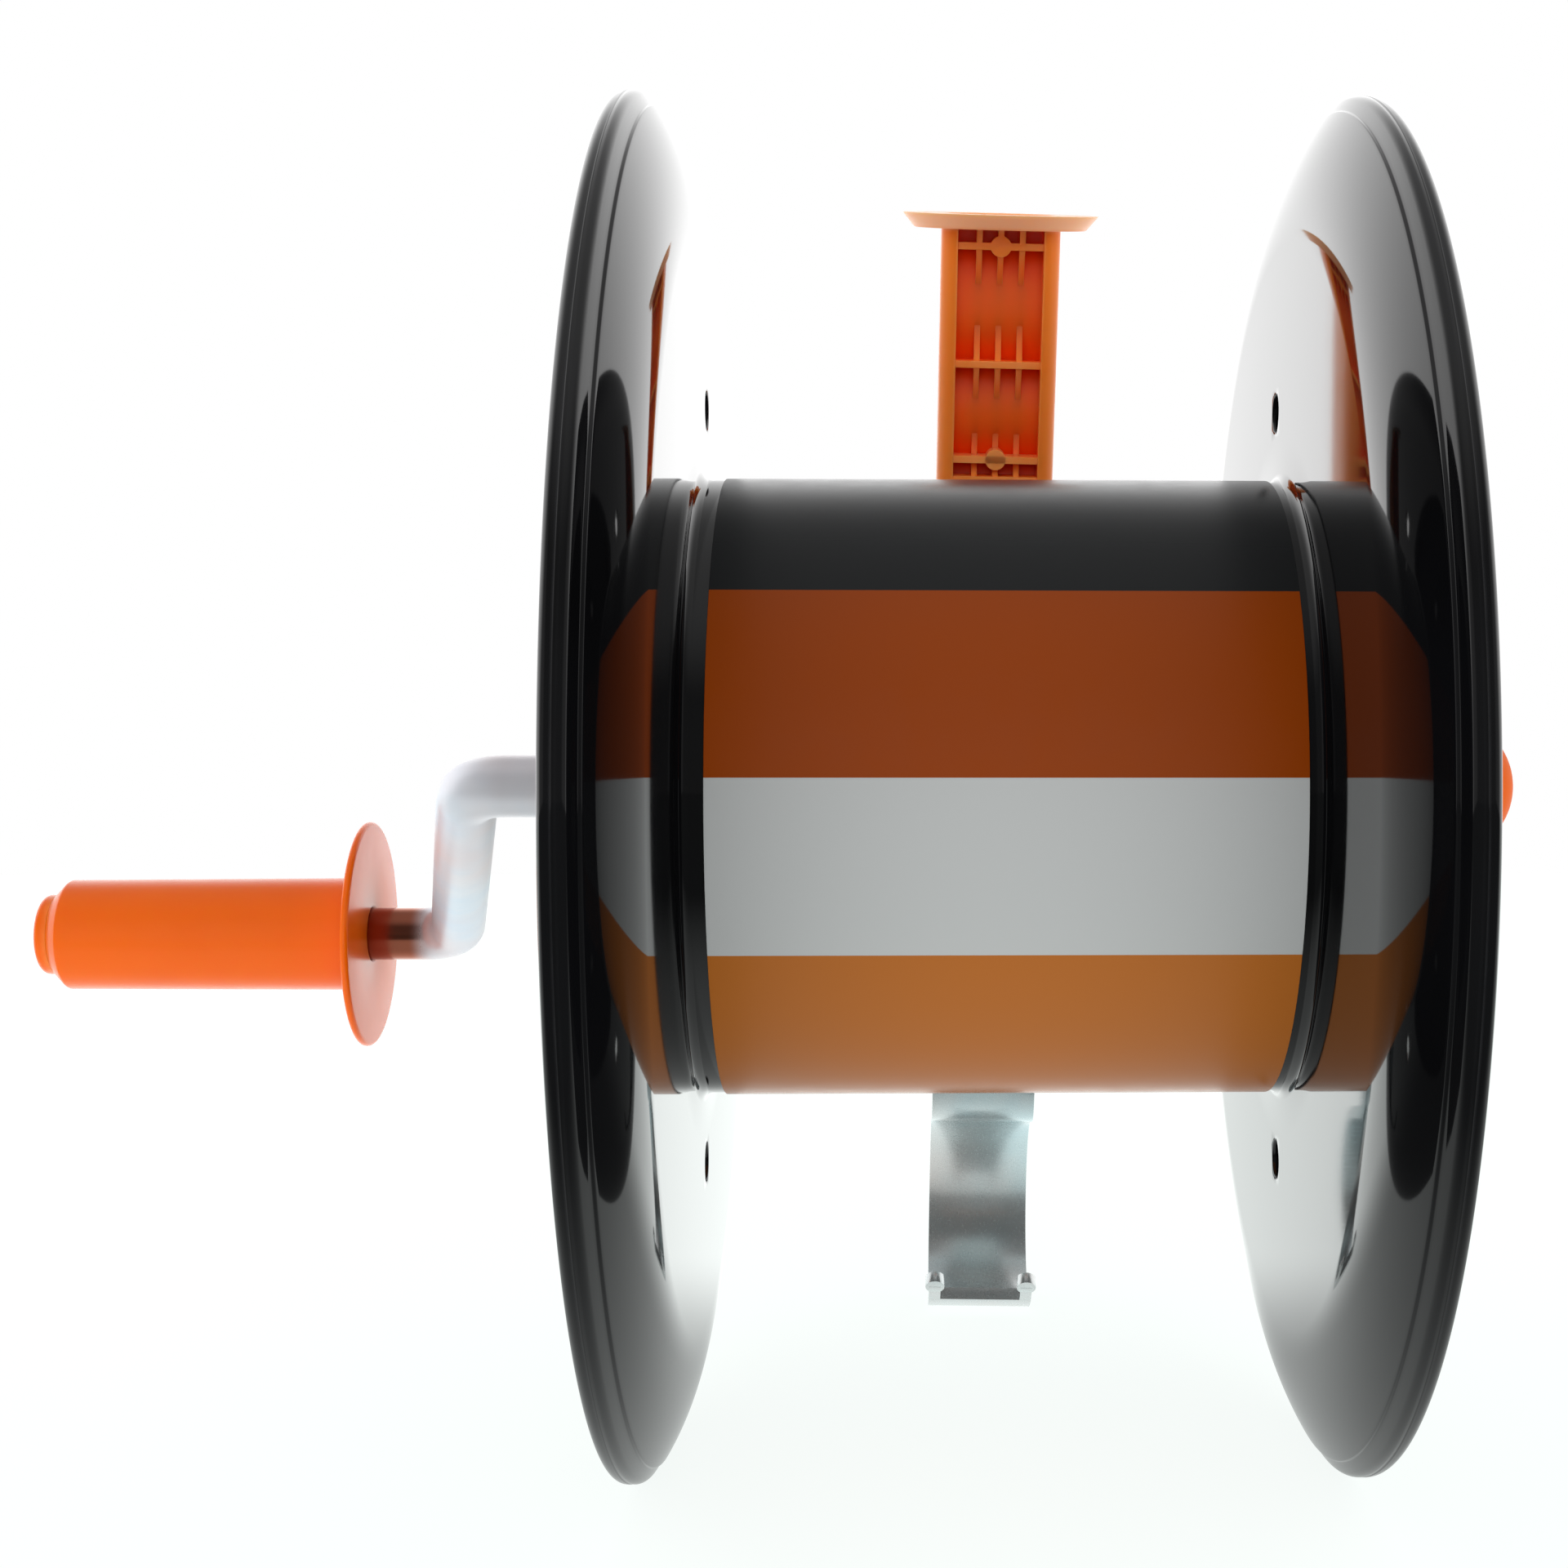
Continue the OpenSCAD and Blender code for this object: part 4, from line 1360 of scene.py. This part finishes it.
    def flange(self, name: str, side: Side) -> Piece:
        """Builds one flange with its ribs and holes.

        Args:
            name: Name of the piece.
            side: Which flange it is; the left one mirrors the right and has the pin's slot.

        Returns:
            The flange.
        """
        dish = self.shop.turned(f"{name}_dish", BLACK, self.flange_section(), self.segments)
        with editing(dish) as shape:
            bmesh.ops.recalc_face_normals(shape, faces=shape.faces)
        cut(dish, self.anchor_cutter())
        self.ease_anchors(dish)
        if side is Side.LEFT:
            cut(dish, self.slot_cutter())
        ribs = self.shop.ring(self.rib(), BLACK, self.rib_count, 180 / self.rib_count)
        piece = join(name, [dish, ribs])
        if side is Side.LEFT:
            piece.data.transform(Matrix.Diagonal((-1, 1, 1, 1)))
        return piece

    def drum_section(self) -> list[Point]:
        """Section of the drum with its flared ends.

        Returns:
            The points as axial place and radius.
        """
        fillet, wall = self.drum_flare_r, self.drum_r - self.drum_wall
        top = self.drum_r + fillet
        end = self.web_x - fillet
        return [
            (-self.web_x, wall),
            *arc((-end, top), fillet, 180, 270),
            *arc((end, top), fillet, 270, 360),
            (self.web_x, wall),
        ]

    def label_section(self) -> list[Point]:
        """Section of the film round the drum.

        Returns:
            The points as axial place and radius.
        """
        low = self.drum_r + self.label_gap
        high = low + self.label_t
        left, right = self.label_x
        corners = [(left, low), (left, high), (right, high), (right, low)]
        return eased(corners, self.label_edge)

    def build(self) -> None:
        """Builds the flanges, the drum and its band, and the clamping hardware."""
        shop = self.shop
        for side in Side:
            piece = self.flange(f"{side.value}_moulding", side)
            shop.install(piece, Body.SPOOL, Slot.BLACK, BLACK, side.value)
        drum = shop.turned("drum_moulding", BLACK, self.drum_section(), self.segments)
        shop.install(drum, Body.SPOOL, Slot.BLACK, BLACK, "drum")
        label = shop.turned("label_film", FILM, self.label_section(), self.segments)
        shop.install(label, Body.SPOOL, Slot.BAND, FILM, "label_band")
        self.dress()

    def dress(self) -> None:
        """Adds the ratchet and the hardware as eased copies."""
        for node in ("ratchet_ring", "tie_bolts", "tie_nuts"):
            piece = self.shop.refined(f"{node}_plated", node, self.hardware_edge)
            self.shop.install(piece, Body.SPOOL, Slot.ZINC, ZINC, node)


@dataclass
class Crank:
    """The bent-rod crank with its turning grip, and the capped end of the axle."""

    shop: Workshop
    rod_r: float = 6.0
    rod_sides: int = 64
    axle_end: float = 93.0
    corner_1: float = -101.6
    corner_2: float = -120.755
    throw: float = 95.0
    bend_r: float = 9.0
    bend_steps: int = 24
    spindle_end: float = -208.355
    grip_x: float = -139.955
    guard_r: float = 25.8
    guard_t: float = 1.8
    guard_steps: int = 10
    grip_r: float = 12.9
    grip_end_r: float = 12.5
    grip_l: float = 70.0
    grip_edge: float = 1.0
    grip_segments: int = 192
    root_r: float = 1.5
    root_steps: int = 8
    shoulder_l: float = 3.2
    mouth_r: float = 9.2
    bore_r: float = 6.06
    counterbore_r: float = 8.6
    counterbore_l: float = 6.2
    plug_r: float = 9.1
    plug_stem_r: float = 8.55
    plug_l: float = 3.0
    plug_edge_r: float = 1.6
    plug_edge_steps: int = 8
    plug_segments: int = 96
    cap_x: float = 81.0
    cap_r: float = 14.0
    cap_skirt: float = 7.0
    cap_edge: float = 0.6
    cap_bore_r: float = 6.05
    cap_bore_l: float = 12.4
    cap_steps: int = 32
    cap_segments: int = 128
    hardware_edge: float = 0.2

    def on_spindle(self, piece: Piece) -> Piece:
        """Moves a piece from the axle's line to the crank spindle's line.

        Args:
            piece: Piece made round the axle.

        Returns:
            The piece.
        """
        angle = math.radians(CRANK_REST)
        spot = (0.0, self.throw * math.cos(angle) * MM, -self.throw * math.sin(angle) * MM)
        piece.data.transform(Matrix.Translation(spot))
        return piece

    def path(self) -> list[Vector]:
        """Middle line of the rod, with its two bends rounded.

        Returns:
            The points in metres, from the axle's end to the spindle's.
        """
        corners = [
            Vector((self.axle_end, 0.0)),
            Vector((self.corner_1, 0.0)),
            Vector((self.corner_2, self.throw)),
            Vector((self.spindle_end, self.throw)),
        ]
        line = [corners[0]]
        for before, here, after in zip(corners, corners[1:], corners[2:]):
            back = (before - here).normalized()
            ahead = (after - here).normalized()
            turn = math.pi - back.angle(ahead)
            start = here + back * self.bend_r * math.tan(turn / 2)
            middle = here + (back + ahead).normalized() * self.bend_r / math.cos(turn / 2)
            sign = 1.0 if back.cross(ahead) < 0 else -1.0
            for i in range(self.bend_steps + 1):
                swing = Matrix.Rotation(sign * turn * i / self.bend_steps, 2)
                line.append(middle + swing @ (start - middle))
        line.append(corners[-1])
        slope = math.radians(CRANK_REST)
        return [
            Vector((p.x, p.y * math.cos(slope), -p.y * math.sin(slope))) * MM for p in line
        ]

    def rod(self) -> Piece:
        """Sweeps the round bar along its path.

        Returns:
            The rod.
        """
        path = self.path()
        edges = [(i, i + 1) for i in range(len(path) - 1)]
        values = {
            "Radius": self.rod_r * MM,
            "Sides": self.rod_sides,
            "Material": ROD_ZINC.build(),
        }
        return run_tree(new_piece("crank_rod", path, edges), self.shop.bending, values)

    def grip_section(self) -> list[Point]:
        """Section of the grip with its guard disc.

        Returns:
            The points as axial place and radius.
        """
        edge, root = self.guard_t / 2, self.root_r
        end = self.guard_t + self.grip_l
        floor = end - self.counterbore_l
        section = [
            (0.0, self.bore_r),
            *arc((edge, self.guard_r - edge), edge, 180, 0, self.guard_steps),
            *arc((self.guard_t + root, self.grip_r + root), root, 180, 270, self.root_steps),
            (end - self.shoulder_l, self.grip_end_r),
            (end, self.mouth_r),
            (end, self.counterbore_r),
            (floor, self.counterbore_r),
            (floor, self.bore_r),
        ]
        return [(self.grip_x - x, r) for x, r in eased(section, self.grip_edge)]

    def plug_section(self) -> list[Point]:
        """Section of the plug in the grip's free end.

        Returns:
            The points as axial place and radius.
        """
        mouth = self.guard_t + self.grip_l
        inner, outer = mouth - self.plug_l, mouth + self.plug_l
        edge = self.plug_edge_r
        section = [
            (inner, 0.0),
            (inner, self.plug_stem_r),
            (mouth, self.plug_stem_r),
            (mouth, self.plug_r),
            *arc((outer - edge, self.plug_r - edge), edge, 90, 0, self.plug_edge_steps),
            (outer, 0.0),
        ]
        return [(self.grip_x - x, r) for x, r in section]

    def cap_section(self) -> list[Point]:
        """Section of the domed cap on the axle's end.

        Returns:
            The points as axial place and radius.
        """
        floor = self.cap_x + self.cap_bore_l
        return [
            (floor, 0.0),
            (floor, self.cap_bore_r),
            (self.cap_x, self.cap_bore_r),
            (self.cap_x, self.cap_r - self.cap_edge),
            (self.cap_x + self.cap_edge, self.cap_r),
            *arc((self.cap_x + self.cap_skirt, 0.0), self.cap_r, 90, 0, self.cap_steps),
        ]

    def build(self) -> None:
        """Builds the rod, the grip, its plug and the cap."""
        shop = self.shop
        shop.install(self.rod(), Body.SPOOL, Slot.ZINC, ROD_ZINC, "crank_axle")
        grip = shop.turned("grip_moulding", ORANGE, self.grip_section(), self.grip_segments)
        shop.install(self.on_spindle(grip), Body.GRIP, Slot.ORANGE, ORANGE, "crank_grip")
        plug = shop.turned(
            "grip_plug_moulding", ORANGE, self.plug_section(), self.plug_segments, False
        )
        shop.install(self.on_spindle(plug), Body.GRIP, Slot.ORANGE, ORANGE, "grip_plug")
        cap = shop.turned(
            "axle_cap_moulding", TEXTURED_ORANGE, self.cap_section(), self.cap_segments, False
        )
        shop.install(cap, Body.SPOOL, Slot.ORANGE, TEXTURED_ORANGE, "axle_cap")
        self.dress()

    def dress(self) -> None:
        """Adds the pin, washer and retainers as eased copies."""
        for node in ("drive_pin", "axle_washer", "axle_retainer", "grip_retainer"):
            piece = self.shop.refined(f"{node}_plated", node, self.hardware_edge)
            self.shop.install(piece, Body.SPOOL, Slot.ZINC, ZINC, node)


@dataclass
class CarryFrame:
    """The flat-bar yoke with its bushes, the hook strip and the carry handle."""

    shop: Workshop
    bar_edge: float = 0.6
    strip_edge: float = 0.5
    rivet_edge: float = 0.3
    bush_edge: float = 0.25
    handle_edge: float = 0.45
    strip_shift: float = 3.2
    strip_tilt: float = 1.1
    tang_foot: Point = (146.863, 22.008)
    handle_lean: float = 14.5
    handle_rise: float = 26.0
    pocket_w: float = 20.8
    core_t: float = 8.0
    pocket_h: float = 8.0
    bay_ends: tuple[float, ...] = (4.0, 37.2, 60.33, 88.5)
    swell_h: float = 2.9
    swell_sunk: float = 0.5
    swell_steps: int = 24
    low_rib_z: float = 37.2
    rib_t: float = 1.7
    rib_setback: float = 1.0
    boss_r: float = 2.5
    boss_sides: int = 32

    def swell_line(self, low: float, high: float) -> list[Point]:
        """Side view of one swollen pocket floor, a parabola on a sunk foot.

        Args:
            low: Height of its lower end.
            high: Height of its upper end.

        Returns:
            The points as depth and height.
        """
        floor_y, steps = self.core_t / 2, self.swell_steps
        line = [(floor_y - self.swell_sunk, low)]
        for i in range(steps + 1):
            rise = self.swell_h * (1 - (2 * i / steps - 1) ** 2)
            line.append((floor_y + rise, low + (high - low) * i / steps))
        return [*line, (floor_y - self.swell_sunk, high)]

    def swells(self) -> Piece:
        """Swollen pocket floors between the cross ribs, where the upright ribs run out.

        Returns:
            The floors of both sides with the low cross ribs, on the tang.
        """
        shape = bmesh.new()
        half, bare = self.pocket_w / 2 + self.swell_sunk, self.pocket_w / 2
        for side in (-1, 1):
            for low, high in zip(self.bay_ends, self.bay_ends[1:]):
                line = self.swell_line(low, high)
                rows = [
                    [shape.verts.new((x * MM, side * y * MM, z * MM)) for y, z in line]
                    for x in (-half, -bare, bare, half)
                ]
                shape.faces.new(rows[0])
                shape.faces.new(reversed(rows[-1]))
                for left, right in zip(rows, rows[1:]):
                    for i in range(len(line)):
                        j = (i + 1) % len(line)
                        shape.faces.new((left[j], left[i], right[i], right[j]))
        self.low_ribs(shape)
        bmesh.ops.recalc_face_normals(shape, faces=shape.faces)
        piece = piece_from(shape, "pocket_swells")
        piece.data.transform(self.on_tang())
        return piece

    def low_ribs(self, shape: bmesh.types.BMesh) -> None:
        """Adds the low cross rib of each pocket with its ejector boss.

        Args:
            shape: Open mesh of the pocket floors.
        """
        low = self.core_t / 2 - self.swell_sunk
        high = self.core_t / 2 + self.pocket_h - self.rib_setback
        width = self.pocket_w + 2 * self.swell_sunk
        size = Matrix.Diagonal((width * MM, (high - low) * MM, self.rib_t * MM, 1.0))
        upright = Matrix.Rotation(math.pi / 2, 4, "X")
        for side in (-1, 1):
            spot = Matrix.Translation((0.0, side * (low + high) / 2 * MM, self.low_rib_z * MM))
            bmesh.ops.create_cube(shape, size=1.0, matrix=spot @ size)
            add_bar(shape, self.boss_r, high - low, self.boss_sides, spot @ upright)

    def on_tang(self) -> Matrix:
        """Place of the carry handle: Z runs up the tang from the handle's foot.

        Returns:
            The place as a matrix.
        """
        foot_y, foot_z = self.tang_foot
        return (
            Matrix.Translation((self.strip_shift * MM, 0.0, 0.0))
            @ Matrix.Rotation(math.radians(self.strip_tilt), 4, "Y")
            @ Matrix.Translation((0.0, foot_y * MM, foot_z * MM))
            @ Matrix.Rotation(math.radians(self.handle_lean), 4, "X")
            @ Matrix.Translation((0.0, 0.0, self.handle_rise * MM))
        )

    def painted_light_finish(self) -> PaintedLightMoulding:
        """Finish of the carry handle: the orange moulding in a lighter orange than the grip's as
        painted light, with painted shade in its pockets and a painted sheen on its top disc.

        Returns:
            The finish.
        """
        rows = tuple(tuple(row) for row in self.on_tang().inverted())
        return PaintedLightMoulding(
            "orange_plastic_painted_light",
            # Painted light: a lighter orange than the grip's moulding
            colour="#FC8530",
            cloud="#F97F2A",
            rubbed="#FFA463",
            roughness=0.3,
            ripple_mm=22.0,
            ripple_depth_mm=0.015,
            soft=0.35,
            sheen=0.14,
            to_local=rows,
        )

    def build(self) -> None:
        """Builds the frame's pieces as eased copies, then the handle."""
        parts = (
            ("yoke", self.bar_edge, Slot.ZINC, ZINC),
            ("handle_strip", self.strip_edge, Slot.ZINC, ZINC),
            ("strip_rivets", self.rivet_edge, Slot.ZINC, ZINC),
            ("left_bush", self.bush_edge, Slot.NYLON, NYLON),
            ("right_bush", self.bush_edge, Slot.NYLON, NYLON),
        )
        for node, edge, slot, finish in parts:
            piece = self.shop.refined(f"{node}_dressed", node, edge)
            self.shop.install(piece, Body.FRAME, slot, finish, node)
        self.dress()

    def dress(self) -> None:
        """Adds the carry handle with its swells in its own finish."""
        shell = self.shop.refined("carry_handle_shell", "carry_handle", self.handle_edge)
        handle = join("carry_handle_moulding", [shell, self.swells()])
        self.shop.install(handle, Body.FRAME, Slot.ORANGE, self.painted_light_finish(), "carry_handle")


@dataclass
class Catch:
    """The swinging pawl on its pivot."""

    shop: Workshop
    edge: float = 0.35

    def build(self) -> None:
        """Builds the pawl, its pivot and washer as eased copies."""
        parts = (
            ("pawl", Body.PAWL, Slot.ORANGE, ORANGE),
            ("pawl_pivot", Body.FRAME, Slot.ZINC, ZINC),
            ("pawl_washer", Body.FRAME, Slot.ZINC, ZINC),
        )
        for node, body, slot, finish in parts:
            piece = self.shop.refined(f"{node}_dressed", node, self.edge)
            self.shop.install(piece, body, slot, finish, node)


@dataclass
class Studio:
    """White room with a dim front and top in reflections, a pale floor and the camera."""

    floor_z: float = -130.0
    floor_size: float = 6000.0
    fill_levels: Point = (1.7, 0.78)
    fill_cone: Point = (-0.97, -0.55)
    back_levels: Point = (0.12, 1.75)
    back_cone: Point = (-0.35, 0.25)
    side_levels: Point = (0.0, 0.32)
    side_cone: Point = (0.5, 0.9)
    top_level: float = 0.5
    top_rise: Point = (0.5, 0.95)
    seen_level: float = 1.0
    lens_mm: float = 53.85
    sensor_mm: float = 36.0
    clip_mm: float = 10.0
    camera_spot: tuple[float, float, float] = (-15.1, -457.5, 0.0)
    yaw: float = 1.89
    shift: Point = (-0.1328, 0.0015)

    def build(self) -> None:
        """Builds the room, the floor and the camera."""
        self.room()
        self.floor()
        self.camera()

    def mirrored(self, tree: Tree, axes: Node) -> Node:
        """Brightness of the room in reflections: bright behind, dim in front and above.

        Args:
            tree: Node tree of the world.
            axes: Node that splits the direction that is looked at.

        Returns:
            The node with the brightness.
        """
        across, depth, height = axes.outputs
        side = add_node(tree, MATH, {0: across}, operation="ABSOLUTE")
        fades = (
            (depth, self.back_cone, self.back_levels),
            (side, self.side_cone, self.side_levels),
            (height, self.top_rise, (0.0, 1.0)),
        )
        back, wings, lift = (
            add_node(tree, RANGE, on_range(*ends), **SMOOTH) for ends in fades
        )
        horizon = add_node(tree, MATH, {0: back, 1: wings}, operation="MAXIMUM")
        return add_node(tree, MIX, {"Factor": lift, "A": horizon, "B": self.top_level})

    def room(self) -> None:
        """Builds the white world: a soft fill, its own mirror image, plain to the camera."""
        world = bpy.data.worlds.new("white_room")
        bpy.context.scene.world = world
        world.use_nodes = True
        tree = world.node_tree
        tree.nodes.clear()
        direction = add_node(tree, "ShaderNodeTexCoord").outputs["Generated"]
        axes = add_node(tree, "ShaderNodeSeparateXYZ", {0: direction})
        fill = on_range(axes.outputs["Y"], self.fill_cone, self.fill_levels)
        path = add_node(tree, "ShaderNodeLightPath")
        lit = {
            "Factor": direct_mirror(tree, path),
            "A": add_node(tree, RANGE, fill, **SMOOTH),
            "B": self.mirrored(tree, axes),
        }
        seen = {
            "Factor": path.outputs["Is Camera Ray"],
            "A": add_node(tree, MIX, lit),
            "B": self.seen_level,
        }
        white = {"Color": (1.0, 1.0, 1.0, 1.0), "Strength": add_node(tree, MIX, seen)}
        glow = add_node(tree, "ShaderNodeBackground", white)
        add_node(tree, "ShaderNodeOutputWorld", {"Surface": glow})

    def floor(self) -> None:
        """Builds the pale floor under the flanges."""
        half = self.floor_size / 2 * MM
        z = self.floor_z * MM
        corners = [(-half, -half, z), (half, -half, z), (half, half, z), (-half, half, z)]
        piece = new_piece("floor", corners, None, [(0, 1, 2, 3)])
        piece.data.materials.append(FLOOR.build())

    def camera(self) -> None:
        """Sets the camera, which was fitted to the photograph's flange outlines."""
        data = bpy.data.cameras.new("camera")
        data.lens = self.lens_mm
        data.sensor_width = self.sensor_mm
        data.shift_x, data.shift_y = self.shift
        data.clip_start = self.clip_mm * MM
        camera = bpy.data.objects.new("camera", data)
        scene = bpy.context.scene
        scene.collection.objects.link(camera)
        camera.location = Vector(self.camera_spot) * MM
        camera.rotation_euler = (math.pi / 2, 0.0, -math.radians(self.yaw))
        scene.camera = camera
        scene.view_settings.view_transform = "Standard"


def main() -> None:
    """Builds the reel on its frame and the studio round it."""
    logging.basicConfig(level=logging.INFO, format="%(name)s: %(message)s")
    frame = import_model()
    shop = Workshop(frame["nodes"])
    for assembly in (Spool(shop), Crank(shop), CarryFrame(shop), Catch(shop)):
        assembly.build()
        LOG.info("%s built", type(assembly).__name__)
    Studio().build()


if __name__ == "__main__":
    main()
